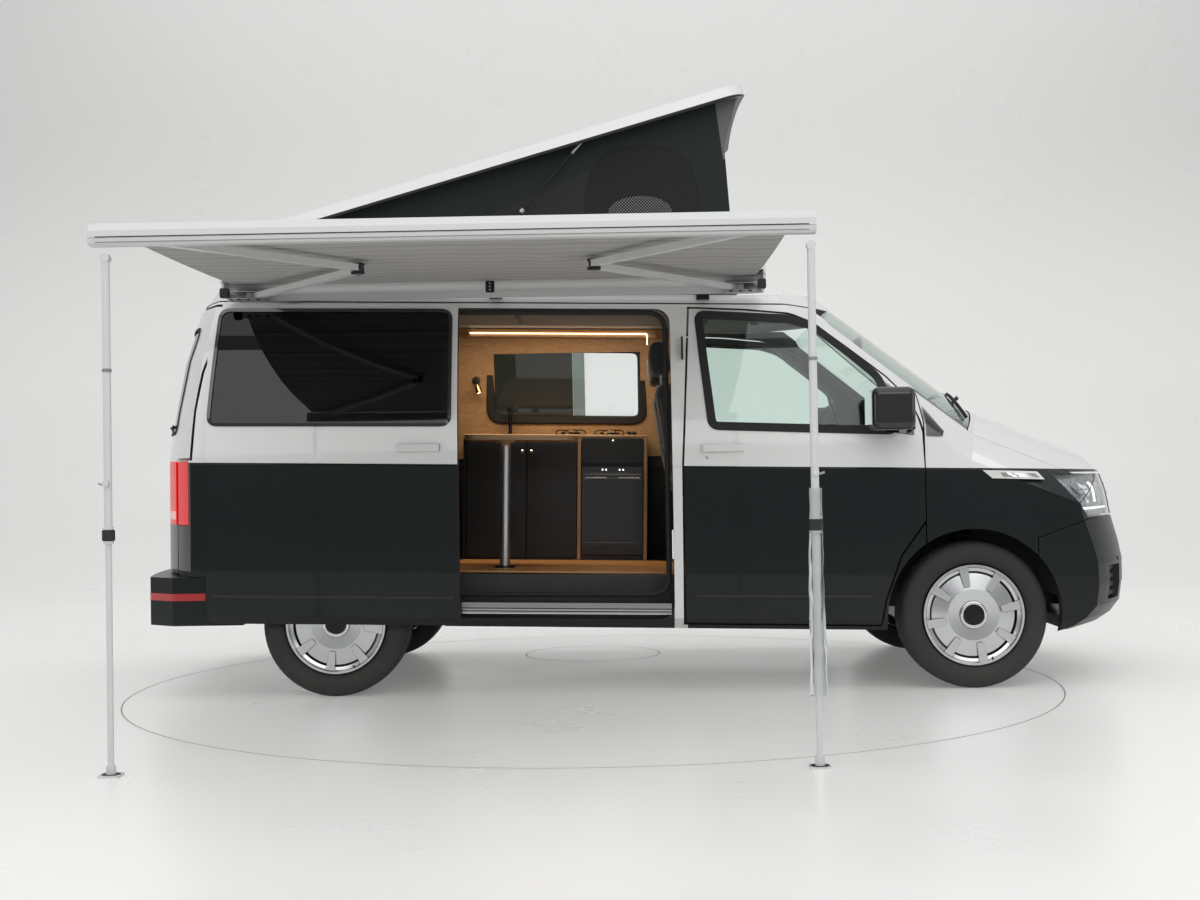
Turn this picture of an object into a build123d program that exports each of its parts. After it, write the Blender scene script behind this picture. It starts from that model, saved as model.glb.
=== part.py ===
"""Camper van with a lifting roof, a side awning on legs, hinged doors, bonnet and tailgate.

Millimetres. +X points forward, +Y to the left, +Z up. The origin is on the ground,
on the van's centre plane, half way between the axles.
"""
from build123d import *
from math import asin, atan2, cos, degrees, hypot, radians, sin, tan
import os

os.makedirs("parts", exist_ok=True)

# ---------------------------------------------------------------- driving dimensions
wheelbase = 3000
track = 1640
tyre_radius = 343.5
tyre_width = 235
tyre_flat = 1.5  # how far the tyre's contact patch is pressed in
tyre_wall = 88  # from tread to bead
axle_height = tyre_radius - tyre_flat
front_axle = wheelbase / 2
rear_axle = -wheelbase / 2
wheel_y = track / 2

rake = 1.3  # the body stands nose down by this many degrees
body_wall = 55
body_bottom = 300
half_width = 953
roof_top = 1935  # crown of the fixed roof above the origin
panel_gap = 7
door_gap = 10
glass_inset = 4
glass_thickness = 8
glass_seal = 2
arch_radius = 405
arch_depth = 280

# cross-section of the body at x = 0, right half: y, z
SECTION_SIDE = [
    (0, body_bottom),
    (890, body_bottom),
    (938, 350),
    (951, 560),
    (half_width, 800),
    (950, 1056),
    (943, 1068),
    (930, 1240),
]
section_glass_middle = (884, 1525)
section_glass_top = (817, 1790)
section_gutter = (798, 1846)
section_cant_middle = (779, 1876)
section_cant_top = (735, 1893)
section_crown_middle = (380, 1925)

# tail outline on the centre plane, from the bottom up: x, z
tail_centre = -846
TAIL = [(-2370, 260), (-2448, 420), (-2480, 600), (-2478, 1150), (-2450, 1345), (-2398, 1610), (-2318, 1862)]
tail_top = (-2225, 1990)

# nose outline on the centre plane, from the bottom up: x, z
nose_centre = 875
NOSE = [(2050, 240), (2196, 247), (2300, 285), (2352, 322), (2394, 380), (2406, 470), (2406, 575), (2390, 660)]
NOSE_TOP = [(2356, 790), (2336, 910), (2306, 1000), (2190, 1112), (2035, 1190), (1850, 1284), (1657, 1333)]
nose_cowl = (875, 1620)

screen_base = (1614, 1360)  # windscreen on the centre plane: x, z
screen_top = (918, 1889)
screen_radius = 1610
bonnet_line = (1657, 1333)
bonnet_slope = 22
bonnet_radius = 1600
greenhouse_end = 1620
far = 3200  # reach of construction solids, past every side of the van


# the body's own plane, which leans with it: x forward, y left, z up
body_plane = Plane(
    origin=(0, 0, 0),
    x_dir=(cos(radians(rake)), 0, -sin(radians(rake))),
    z_dir=(sin(radians(rake)), 0, cos(radians(rake))),
)


def body_side_plane(y):
    """Upright plane along the body at y, facing right: x forward, y up, both leaning with the body."""
    return Plane(origin=(0, y, 0), x_dir=body_plane.x_dir, z_dir=(0, -1, 0))


def box_between(low, high, plane=Plane.XY):
    """Box between two opposite corners, given in a plane's own directions."""
    size = [b - a for a, b in zip(low, high)]
    centre = tuple((a + b) / 2 for a, b in zip(low, high))
    with BuildPart(plane) as block:
        with Locations(centre):
            Box(*size)
    return block.part


def carve(base, keep_in=(), cut_out=()):
    """What is left of a solid inside all of some solids and outside others."""
    with BuildPart() as piece:
        add(base)
        for solid in keep_in:
            add(solid, mode=Mode.INTERSECT)
        for solid in cut_out:
            add(solid, mode=Mode.SUBTRACT)
    return piece.part


def both_sides(solid):
    """A solid and its mirror image across the van's centre plane."""
    with BuildPart() as pair:
        add(solid)
        mirror(about=Plane.XZ)
    return pair.part


def write(part, name):
    """Label a finished sub-part and write its file."""
    part.label = name
    export_step(part, f"parts/{name}.step")


def leaning(x, z):
    """Height in the ground's frame, at x, of a line of the body that stands z above the origin."""
    return z - x * tan(radians(rake))


def side_prism(outline, y_low, y_high, corner=0, grow=0):
    """Prism along Y over an outline of (x, z) points, its corners rounded and its outline grown."""
    with BuildPart() as prism:
        with BuildSketch(Plane.XZ.offset(-y_high)) as face:
            with BuildLine():
                Polyline(*outline, close=True)
            make_face()
            if corner:
                fillet(face.vertices(), corner)
            if grow:
                offset(amount=grow, kind=Kind.INTERSECTION)
        extrude(amount=y_high - y_low)
    return prism.part


def cylinder_along(centre, direction, radius, reach):
    """Cylinder through a point, reaching as far both ways along a direction."""
    with BuildPart() as rod:
        with BuildSketch(Plane(origin=centre, z_dir=direction)):
            Circle(radius)
        extrude(amount=reach, both=True)
    return rod.part


def hull(inset):
    """Solid inside the van's skin, moved in from it by inset."""
    lean = radians(rake)
    section_plane = Plane(origin=(0, 0, 0), x_dir=(0, 1, 0), z_dir=(cos(lean), 0, -sin(lean)))
    with BuildPart() as tube:
        with BuildSketch(section_plane) as section:
            with BuildLine() as half:
                Polyline(*SECTION_SIDE)
                ThreePointArc(SECTION_SIDE[-1], section_glass_middle, section_glass_top)
                Line(section_glass_top, section_gutter)
                ThreePointArc(section_gutter, section_cant_middle, section_cant_top)
                ThreePointArc(section_cant_top, section_crown_middle, (0, roof_top))
                Line((0, roof_top), (0, body_bottom))
            make_face()
            mirror(about=Plane.YZ)
            if inset:
                offset(amount=-inset)
        extrude(amount=far, both=True)

    with BuildPart() as tail:
        with BuildSketch(Plane.XZ):
            with BuildLine():
                Polyline((tail_centre, 0), (TAIL[0][0], 0), *TAIL, tail_top, (tail_centre, 2100), close=True)
            make_face()
            if inset:
                offset(amount=-inset)
        revolve(axis=Axis((tail_centre, 0, 0), (0, 0, 1)))
    tail_block = box_between((tail_centre - 2 * body_wall, -far, -far), (far, far, far))

    with BuildPart() as nose:
        with BuildSketch(Plane.XZ):
            with BuildLine():
                Polyline((nose_centre, 0), (NOSE[0][0], 0), *NOSE, *NOSE_TOP, nose_cowl, close=True)
            make_face()
            if inset:
                offset(amount=-inset)
        revolve(axis=Axis((nose_centre, 0, 0), (0, 0, 1)))
    crown_up = Vector(sin(radians(bonnet_slope)), 0, cos(radians(bonnet_slope)))
    crown_along = Vector(cos(radians(bonnet_slope)), 0, -sin(radians(bonnet_slope)))
    crown_centre = Vector(bonnet_line[0], 0, bonnet_line[1]) - crown_up * bonnet_radius
    crown = cylinder_along(crown_centre, crown_along, bonnet_radius - inset, far)
    nose_block = box_between((nose_centre + 2 * body_wall, -far, -far), (far, far, far))

    screen_run = Vector(screen_top[0] - screen_base[0], 0, screen_top[1] - screen_base[1])
    screen_out = Vector(screen_run.Z, 0, -screen_run.X).normalized()
    screen_centre = Vector(screen_base[0], 0, screen_base[1]) - screen_out * screen_radius
    screen = cylinder_along(screen_centre, screen_run.normalized(), screen_radius - inset, far)
    cabin_block = box_between((-far, -far, -far), (300, far, far))
    cabin_end = box_between((-far, -far, -far), (greenhouse_end - inset, far, far))

    with BuildPart() as front:
        add(screen)
        add(cabin_block)
        add(cabin_end, mode=Mode.INTERSECT)
    with BuildPart() as snout:
        add(nose.part)
        add(crown, mode=Mode.INTERSECT)
        add(nose_block, mode=Mode.INTERSECT)
    with BuildPart() as back:
        add(tail.part)
        add(tail_block)
    with BuildPart() as body:
        add(front.part)
        add(snout.part)
        add(back.part, mode=Mode.INTERSECT)
        add(tube.part, mode=Mode.INTERSECT)
    return body.part



# ---------------------------------------------------------------- body panels
# side view outlines: x, z
DOOR = [
    (194, 1813), (453, 1799), (663, 1777), (780, 1737), (942, 1617), (1126, 1473), (1227, 1363),
    (1271, 1203), (1277, 1048), (1277, 790), (1157, 628), (1083, 419), (1062, 303), (151, 325), (154, 1061),
]
DOOR_GLASS = [(236, 1784), (666, 1756), (769, 1724), (940, 1590), (1080, 1468), (1143, 1212), (290, 1248), (256, 1560)]
SLIDE_OPENING = [(-985, 1838), (100, 1813), (100, 342), (-985, 366)]
SLIDE_DOOR = [(-2083, 1866), (-903, 1846), (-903, 332), (-2083, 358)]
SLIDE_GLASS = [(-2030, 1838), (-936, 1816), (-939, 1270), (-2072, 1289)]
FRONT_SIDE_GLASS = [(-905, 1815), (60, 1793), (60, 1262), (-905, 1284)]
REAR_SIDE_GLASS = [(-2030, 1838), (-1010, 1816), (-1010, 1290), (-2072, 1310)]
TAILGATE_EDGE = [(-2030, 1875), (-2066, 1730), (-2128, 1541), (-2159, 1360), (-2176, 1137), (-2188, 813), (-2190, 575)]
tailgate_top = 1862
tailgate_bottom = 582
tailgate_half = 772  # below the lamps' top
lamp_low, lamp_high = 815, 1122
glass_corner = 28
slide_out = 76  # how far the open sliding door stands outboard of its closed place
fascia_top, fascia_low = 1004, 792
bonnet_half = 716
wing_front = 1283

outer = hull(0)
inner = hull(body_wall)
cabin = hull(body_wall + 7)  # space left inside the panels and what moves among them
skin = carve(outer, cut_out=[inner])
glass_skin = carve(hull(glass_inset), cut_out=[hull(glass_inset + glass_thickness)])

left_half = box_between((-far, 0, -far), (far, far, far))
right_half = box_between((-far, -far, -far), (far, 0, far))
gutter_z = section_gutter[1]
above_gutter = box_between((-far, -far, gutter_z), (far, far, far), body_plane)
below_gutter = box_between((-far, -far, -far), (far, far, gutter_z - panel_gap), body_plane)
flanks = both_sides(box_between((-far, 640, -far), (far, far, far)))
behind_wings = box_between((-far, -far, -far), (wing_front - panel_gap, far, far))


def arches(axles, radius, inboard, outboard=2 * half_width):
    """Round spaces about wheels, from inboard of each wheel out to a distance from the centre plane."""
    with BuildPart() as spaces:
        for axle in axles:
            with BuildSketch(Plane.XZ.offset(-outboard)):
                with Locations((axle, axle_height)):
                    Circle(radius)
            extrude(amount=outboard - inboard)
        mirror(about=Plane.XZ)
    return spaces.part


arch_inboard = 640
arch_cut = arches((front_axle, rear_axle), arch_radius, arch_inboard)

screen_run = Vector(screen_top[0] - screen_base[0], 0, screen_top[1] - screen_base[1])
screen_plane = Plane(
    origin=(screen_base[0], 0, screen_base[1]),
    x_dir=(0, 1, 0),
    z_dir=(screen_run.Z, 0, -screen_run.X),
)
screen_length = screen_run.length


def screen_region(grow):
    """Prism square to the windscreen that holds its glass."""
    with BuildPart() as region:
        with BuildSketch(screen_plane) as face:
            with BuildLine():
                Polyline((-700, -30), (-660, screen_length - 22), (660, screen_length - 22), (700, -30), close=True)
            make_face()
            fillet(face.vertices(), 60)
            if grow:
                offset(amount=grow)
        extrude(amount=260, both=True)
    return region.part


def tailgate_region(grow):
    """Everything that belongs to the tailgate: its outline from the side and, below the lamps' top, from behind."""
    edge = [(x + grow, z) for x, z in TAILGATE_EDGE]
    side = side_prism(
        [(-far, tailgate_top + grow), (edge[0][0], tailgate_top + grow)]
        + edge[1:-1]
        + [(edge[-1][0], tailgate_bottom - grow), (-far, tailgate_bottom - grow)],
        -far,
        far,
    )
    corner_z = lamp_high + 14 - grow
    corners = both_sides(
        box_between((-far, tailgate_half + grow, -far), (far, far, corner_z))
    )
    return carve(side, cut_out=[corners])


def windows(outline, y_low, y_high, grow=0):
    """Prism for a pane, or with grow for the opening that it sits in."""
    return side_prism(outline, y_low, y_high, corner=glass_corner, grow=grow)


door_opening = side_prism(DOOR, -far, far, grow=door_gap)
slide_opening = side_prism(SLIDE_OPENING, -far, 0, corner=70)
bumper_rear_cut = box_between((-far, -far, -far), (-1925, far, tailgate_bottom - panel_gap))

sill_space = box_between((-985, -868, -far), (1200, 868, 470))
side_common = [
    sill_space,
    door_opening,
    tailgate_region(panel_gap + 5),
    arch_cut,
    bumper_rear_cut,
    screen_region(glass_seal),
]
tail_lamp_zone = both_sides(
    box_between((-far, tailgate_half + panel_gap, lamp_low), (-2186, far, lamp_high))
)
side_left = carve(
    skin,
    keep_in=[left_half, flanks, below_gutter, behind_wings],
    cut_out=side_common
    + [windows(FRONT_SIDE_GLASS, 0, far, glass_seal), windows(REAR_SIDE_GLASS, 0, far, glass_seal), tail_lamp_zone],
)
side_right = carve(
    skin,
    keep_in=[right_half, flanks, below_gutter, behind_wings],
    cut_out=side_common
    + [slide_opening, box_between((-2100, -far, -far), (-985, -850, 470)), windows(REAR_SIDE_GLASS, -far, 0, glass_seal), tail_lamp_zone],
)
with BuildPart() as body_sides:
    add(side_left)
    add(side_right)
write(body_sides.part, "body_sides")



# ---------------------------------------------------------------- roof, glass and front end
opening_front, opening_rear, opening_half = 300, -1760, 520  # hatch in the fixed roof
with BuildPart(body_plane) as hatch:
    with BuildSketch(body_plane.offset(gutter_z)):
        with Locations(((opening_front + opening_rear) / 2, 0)):
            RectangleRounded(opening_front - opening_rear, 2 * opening_half, 90)
    extrude(amount=300)
roof_panel = carve(
    skin, keep_in=[above_gutter], cut_out=[screen_region(glass_seal), tailgate_region(panel_gap), hatch.part]
)
write(roof_panel, "roof_panel")

with BuildPart() as side_glass:
    for outline, low, high in (
        (FRONT_SIDE_GLASS, 600, far),
        (REAR_SIDE_GLASS, 600, far),
        (REAR_SIDE_GLASS, -far, -600),
    ):
        add(carve(glass_skin, keep_in=[windows(outline, low, high)]))


def bonnet_region(grow):
    """Everything that belongs to the bonnet, seen from above and down to the front panel."""
    with BuildPart() as region:
        with BuildSketch(Plane.XY.offset(fascia_top - grow)):
            with BuildLine():
                half = bonnet_half + grow
                ThreePointArc((1530 - grow, half), (1648 - grow, 0), (1530 - grow, -half))
                Polyline((1530 - grow, -half), (2700, -half), (2700, half), (1530 - grow, half))
            make_face()
        extrude(amount=500)
    return region.part


LAMP = [(1978, 884), (1898, 1000), (1898, 1200), (2450, 1200), (2450, 792), (2040, 792)]  # x, z
BUMPER = [(1800, 700), (2035, 783), (2450, 783), (2450, 100), (1800, 100)]
lamp_inner = 470
lamp_depth, lens_thick = 36, 9
GRILLE_SLOTS = [(812, 846), (858, 892), (904, 938), (950, 976)]  # heights of the grooves between the bars
grille_groove_half = 430
INTAKE_BARS = [(372, 382), (412, 422)]
grille_half = lamp_inner - 8
above_low = box_between((-far, -far, 1100), (far, far, far))
ahead_of_doors = box_between((wing_front, -far, -far), (far, far, far))
bonnet_cut = bonnet_region(panel_gap)
lamp_top = box_between((-far, -far, fascia_top - panel_gap), (far, far, far))
lamp_space = carve(
    side_prism(LAMP, -far, far, grow=3),
    cut_out=[box_between((-far, -lamp_inner + 3, -far), (far, lamp_inner - 3, far)), lamp_top],
)
bumper_space = side_prism(BUMPER, -far, far, grow=4)

windscreen = carve(glass_skin, keep_in=[screen_region(0)], cut_out=[bonnet_cut])
write(windscreen, "windscreen")
bonnet = carve(skin, keep_in=[bonnet_region(0)])
write(bonnet, "bonnet")
cowl = carve(
    skin,
    keep_in=[box_between((-far, -bonnet_half, -far), (far, bonnet_half, far)), above_low, ahead_of_doors],
    cut_out=[bonnet_cut, screen_region(glass_seal)],
)
wing_zone = box_between((-far, bonnet_half + 0.5, -far), (far, far, far))
wing_cuts = [bonnet_cut, lamp_space, bumper_space, arch_cut, screen_region(glass_seal)]
wing = carve(skin, keep_in=[wing_zone, ahead_of_doors], cut_out=wing_cuts)
write(both_sides(wing), "wings")

lamp_cuts = [
    box_between((-far, -lamp_inner, -far), (far, lamp_inner, far)),
    box_between((-far, -far, fascia_top - panel_gap - 3), (far, far, far)),
    bonnet_cut,
]
lamp_zone = side_prism(LAMP, -far, far)
behind_lens = hull(3 + lens_thick)
lens_cut = hull(3 + lamp_depth)
headlamps = carve(carve(hull(3), cut_out=[behind_lens]), keep_in=[lamp_zone], cut_out=lamp_cuts)
write(headlamps, "headlamps")
lamp_housing = carve(carve(lens_cut, cut_out=[inner]), keep_in=[lamp_zone], cut_out=lamp_cuts)
grille_zone = box_between((1900, -grille_half, fascia_low + 4), (far, grille_half, fascia_top - panel_gap - 3))
face_layer = carve(outer, cut_out=[lens_cut])
slots = [box_between((1900, -grille_groove_half, low), (far, grille_groove_half, high)) for low, high in GRILLE_SLOTS]
grille = carve(
    skin,
    keep_in=[grille_zone],
    cut_out=[bonnet_cut] + [carve(face_layer, keep_in=[slot]) for slot in slots],
)
with BuildPart() as front_trim:
    add(cowl)
    add(grille)
    add(lamp_housing)
write(front_trim.part, "front_trim")

intake = [
    box_between((2100, -560, 330), (far, 560, 470)),
    both_sides(box_between((1900, 640, 400), (far, 830, 560))),
]
bumper_shell = carve(
    skin,
    keep_in=[side_prism(BUMPER, -far, far)],
    cut_out=[arch_cut, box_between((-far, -880, -far), (1960, 880, far))] + intake,
)
with BuildPart() as front_bumper:
    add(bumper_shell)
    for low, high in INTAKE_BARS:
        add(carve(carve(behind_lens, cut_out=[lens_cut]), keep_in=[box_between((2100, -562, low), (far, 562, high))]))

# ---------------------------------------------------------------- doors
door_floor_cut = box_between((-far, -880, -far), (far, 880, 430))
DOOR_HANDLE = (239, 915, 1125), (440, 962, 1163)  # opposite corners
SLIDE_HANDLE = (-1186, -962, 1147), (-985, -915, 1185)
with BuildPart() as mirror_head:
    add(box_between((1000, 985, 1210), (1196, 1215, 1404)))
    fillet(mirror_head.edges(), 34)
    add(box_between((1152, 900, 1214), (1226, 1010, 1250)))
with BuildPart() as door_handle:
    add(box_between(*DOOR_HANDLE))
    fillet(door_handle.edges(), 8)
mirrors = both_sides(mirror_head.part)
handles = both_sides(door_handle.part)
for side, name in ((left_half, "door_left"), (right_half, "door_right")):
    panel = carve(
        skin,
        keep_in=[side, side_prism(DOOR, -far, far)],
        cut_out=[side_prism(DOOR_GLASS, -far, far, corner=14, grow=glass_seal), door_floor_cut],
    )
    with BuildPart() as door:
        add(mirrors)
        add(handles)
        add(side, mode=Mode.INTERSECT)
        add(panel)
    write(door.part, name)
    pane = carve(glass_skin, keep_in=[side, side_prism(DOOR_GLASS, -far, far, corner=14)])
    write(pane, name.replace("door", "door_glass"))

door_lip = box_between((-far, -far, gutter_z - 12), (far, far, far), body_plane)
slide_panel = carve(
    skin,
    keep_in=[right_half, side_prism(SLIDE_DOOR, -far, far, corner=26)],
    cut_out=[windows(SLIDE_GLASS, -far, 0, glass_seal), door_floor_cut, tailgate_region(panel_gap), door_lip],
)
slide_pane = carve(glass_skin, keep_in=[windows(SLIDE_GLASS, -far, 0)])
with BuildPart() as slide_handle:
    add(box_between(*SLIDE_HANDLE))
    fillet(slide_handle.edges(), 8)
with BuildPart() as sliding_door:
    with Locations((0, -slide_out, 0)):
        add(slide_panel)
        add(slide_handle.part)
write(sliding_door.part, "sliding_door")
with BuildPart() as all_side_glass:
    add(side_glass.part)
    with Locations((0, -slide_out, 0)):
        add(slide_pane)
write(all_side_glass.part, "side_glass")

# ---------------------------------------------------------------- tailgate and tail
tail_pane_low, tail_pane_high, tail_pane_half = 1262, 1772, 690


def tail_pane(grow):
    """Prism that holds the rear window."""
    with BuildPart() as region:
        with BuildSketch(Plane.YZ.offset(-far)) as face:
            with Locations((0, (tail_pane_low + tail_pane_high) / 2)):
                RectangleRounded(2 * tail_pane_half, tail_pane_high - tail_pane_low, 60)
            if grow:
                offset(amount=grow)
        extrude(amount=far - 1900)
    return region.part


rear_end = box_between((-far, -far, -far), (-1990, far, far))
plate_recess = carve(carve(outer, cut_out=[behind_lens]), keep_in=[box_between((-far, -275, 705), (0, 275, 835))])
grip_recess = carve(face_layer, keep_in=[box_between((-far, -190, 842), (0, 190, 872))])
tailgate = carve(
    skin,
    keep_in=[tailgate_region(0), rear_end],
    cut_out=[tail_pane(glass_seal), plate_recess, grip_recess],
)
write(tailgate, "tailgate")
tailgate_glass = carve(glass_skin, keep_in=[tail_pane(0)])
write(tailgate_glass, "tailgate_glass")
tail_lamps = carve(
    skin,
    keep_in=[
        both_sides(
            box_between(
                (-far, tailgate_half + panel_gap + 3, lamp_low + 3), (-2189, far, lamp_high - 3)
            )
        )
    ],
)
write(tail_lamps, "tail_lamps")

bumper_wall, bumper_lid = 55, 40
BUMPER_PLAN = [(-1932, 950), (-2262, 950), (-2396, 852)]
rear_reach = -2500


def bumper_outline(inset, z_low, z_high):
    """Solid inside the rear bumper's plan outline, moved in by inset."""
    with BuildPart() as block:
        with BuildSketch(Plane.XY.offset(z_low)):
            with BuildLine():
                side = [(x + inset * (i == 2), y - inset) for i, (x, y) in enumerate(BUMPER_PLAN)]
                opposite = [(x, -y) for x, y in reversed(side)]
                Polyline(*side)
                ThreePointArc(side[-1], (rear_reach + inset, 0), opposite[0])
                Polyline(*opposite, side[0])
            make_face()
        extrude(amount=z_high - z_low)
    return block.part


bumper_low, bumper_high = 345, 572
rear_bumper = carve(
    bumper_outline(0, bumper_low, bumper_high),
    cut_out=[bumper_outline(bumper_wall, 0, bumper_high - bumper_lid), inner, arch_cut],
)
with BuildPart() as bumpers:
    add(front_bumper.part)
    add(rear_bumper)
write(bumpers.part, "bumpers")

# ---------------------------------------------------------------- floor and underbody
floor_top, floor_thick, tread_top = 537, 34, 392  # heights in the body's own plane
floor_half, sill_half = 750, 862
housing_wall = 12
housing_inboard_rear, housing_inboard_front = 652, 486
front_space = 436  # radius of the space about a steered wheel
housing_space = arches((rear_axle,), arch_radius + housing_wall, housing_inboard_rear - housing_wall)
with BuildPart(body_plane) as floor_pan:
    with Locations((-685, 0, floor_top - floor_thick / 2)):
        Box(3330, 2 * floor_half, floor_thick)
    add(cabin, mode=Mode.INTERSECT)
    for side in (-1, 1):
        with Locations((30, side * (floor_half - 10), (floor_top + tread_top) / 2 - floor_thick / 2)):
            Box(2000, 20, floor_top - floor_thick - tread_top + 1)
        with Locations((30, side * (floor_half - 20 + sill_half) / 2, tread_top - 40)):
            Box(2000, sill_half - floor_half + 20, 80)
        with Locations((-620, side * 480, floor_top - floor_thick - 35)):
            Box(3300, 90, 80)
    for x in (-2000, -1000, 0, 900):
        with Locations((x, 0, floor_top - floor_thick - 25)):
            Box(80, 900, 60)
    add(housing_space, mode=Mode.SUBTRACT)

housings = []
for axle, radius, inboard in (
    (rear_axle, arch_radius, housing_inboard_rear),
    (front_axle, front_space, housing_inboard_front),
):
    reach = half_width - body_wall - 1
    shell = carve(
        arches((axle,), radius + housing_wall, inboard - housing_wall, reach),
        cut_out=[arches((axle,), radius, inboard, reach + 10)],
    )
    above_floor = box_between((-far, -far, 505 if axle < 0 else 420), (far, far, far))
    housings.append(carve(shell, keep_in=[above_floor, inner]))
with BuildPart() as wheel_housings:
    for housing in housings:
        add(housing)
write(wheel_housings.part, "wheel_housings")

arm_z = axle_height - 110
with BuildPart() as front_frame:
    for side in (-1, 1):
        with Locations((1580, side * 420, 405)):
            Box(980, 80, 110)
        with Locations((front_axle, side * 400, 320)):
            Box(160, 100, 130)
        with BuildSketch(Plane.XY.offset(arm_z - 18)):
            with BuildLine():
                Polyline(
                    (front_axle + 26, side * 679), (front_axle + 150, side * 362), (front_axle - 150, side * 362),
                    (front_axle - 26, side * 679), close=True,
                )
            make_face()
        extrude(amount=36)
    with Locations((2080, 0, 405)):
        Box(60, 1100, 110)
    with Locations((front_axle, 0, 262)):
        Box(300, 740, 70)
write(front_frame.part, "front_frame")

with BuildPart() as engine:
    with Locations((1590, 0, 660)):
        Box(500, 640, 460)
    fillet(engine.edges().filter_by(Axis.Z), 60)
    chamfer(engine.faces().sort_by(Axis.Z)[-1].edges(), 30)
write(engine.part, "engine")

# ---------------------------------------------------------------- suspension, knuckles and wheels
kingpin_y = 716

rear_hub_y = 700
with BuildPart() as rear_suspension:
    for side in (-1, 1):
        with BuildSketch(Plane.XY.offset(axle_height - 35)):
            with BuildLine():
                Polyline(
                    (rear_axle - 60, side * (rear_hub_y - 66)), (rear_axle + 60, side * (rear_hub_y - 66)),
                    (rear_axle + 470, side * 600), (rear_axle + 470, side * 240), (rear_axle + 400, side * 240),
                    (rear_axle + 90, side * 470), (rear_axle - 60, side * 560), close=True,
                )
            make_face()
        extrude(amount=70)
        with BuildSketch(Plane.XZ.offset(-side * (rear_hub_y - 70))):
            with Locations((rear_axle, axle_height)):
                Circle(62)
        extrude(amount=-side * 70)
    with Locations((rear_axle + 435, 0, axle_height)):
        with Locations(Rotation(90, 0, 0)):
            Cylinder(38, 1160)
write(rear_suspension.part, "rear_suspension")

spindle_radius = 28
spindle_end = wheel_y + 62
hub_bore = spindle_radius + 0.3
for side, name in ((1, "knuckle_left"), (-1, "knuckle_right")):
    with BuildPart() as knuckle:
        with BuildSketch(Plane.XZ.offset(-side * (kingpin_y - 12))):
            with Locations((front_axle, axle_height)):
                SlotCenterToCenter(190, 74, rotation=90)
        extrude(amount=-side * 50)
        with BuildSketch(Plane.XZ.offset(-side * (kingpin_y + 20))):
            with Locations((front_axle, axle_height)):
                Circle(spindle_radius)
        extrude(amount=-side * (spindle_end - kingpin_y - 20))
    write(knuckle.part, name)

bead_radius = 236
# half profile of the tyre: distance from the wheel's middle plane, radius
TYRE = [(72, bead_radius), (104, 246), (116, 288), (109, 322), (96, 338), (80, tyre_radius)]
rim_wall = 9
RIM_WELL = [(100, bead_radius - 1), (78, bead_radius - 12), (30, 206), (-40, 206), (-78, bead_radius - 12), (-100, bead_radius - 1)]
cover_face = 86  # how far the wheel cover's face stands outboard of the middle plane
disc_radius, ring_inner, ring_outer = 194, 205, 234
tab_count, tab_inner, tab_outer, tab_root_width, tab_tip_width = 8, 132, 226, 44, 27
hub_radius = 62
TAB_TURN = {"front": 11.5, "rear": 37}
with BuildSketch() as tab:
    with BuildLine():
        Polyline(
            (tab_inner, -tab_tip_width / 2), (tab_inner, tab_tip_width / 2),
            (tab_outer, tab_root_width / 2), (tab_outer, -tab_root_width / 2), close=True,
        )
    make_face()

for axle_name, axle in (("front", front_axle), ("rear", rear_axle)):
    for side, side_name in ((1, "left"), (-1, "right")):
        middle = Plane(origin=(axle, side * wheel_y, axle_height), x_dir=(1, 0, 0), z_dir=(0, side, 0))
        turn_plane = Plane(origin=middle.origin, x_dir=(0, side, 0), z_dir=(-side, 0, 0))
        axis = Axis(middle.origin, (0, 1, 0))
        with BuildPart() as tyre:
            with BuildSketch(turn_plane):
                with BuildLine():
                    Polyline(*TYRE, *[(-u, r) for u, r in reversed(TYRE)], close=True)
                make_face()
            revolve(axis=axis)
            with Locations((axle, side * wheel_y, -50)):
                Box(400, 400, 100, mode=Mode.SUBTRACT)
        write(tyre.part, f"tyre_{axle_name}_{side_name}")
        with BuildPart() as wheel:
            with BuildSketch(turn_plane):
                with BuildLine():
                    Polyline(*RIM_WELL, *[(u, r - rim_wall) for u, r in reversed(RIM_WELL)], close=True)
                make_face()
            revolve(axis=axis)
            with BuildSketch(turn_plane):  # wheel disc and cover with its hub
                with BuildLine():
                    Polyline(
                        (40, hub_bore), (64, hub_bore), (64, 0), (cover_face + 4, 0), (cover_face + 4, hub_radius),
                        (cover_face - 6, hub_radius), (cover_face - 2, 120), (cover_face - 14, disc_radius),
                        (cover_face - 30, disc_radius), (cover_face - 30, 205), (30, 205), (30, 196),
                        (cover_face - 44, 190), (40, 90), close=True,
                    )
                make_face()
            revolve(axis=axis)
            with BuildSketch(turn_plane):
                with BuildLine():
                    Polyline(
                        (cover_face - 34, ring_inner - 6), (cover_face - 6, ring_inner), (cover_face + 2, ring_outer - 8),
                        (cover_face + 2, ring_outer - 1), (cover_face - 14, ring_outer - 1), (cover_face - 34, 212),
                        close=True,
                    )
                make_face()
            revolve(axis=axis)
            with BuildSketch(middle.offset(cover_face - 16)):
                with PolarLocations(0, tab_count, start_angle=90 - side * TAB_TURN[axle_name]):
                    add(tab.sketch)
            extrude(amount=20)
        write(wheel.part, f"wheel_{axle_name}_{side_name}")

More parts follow.
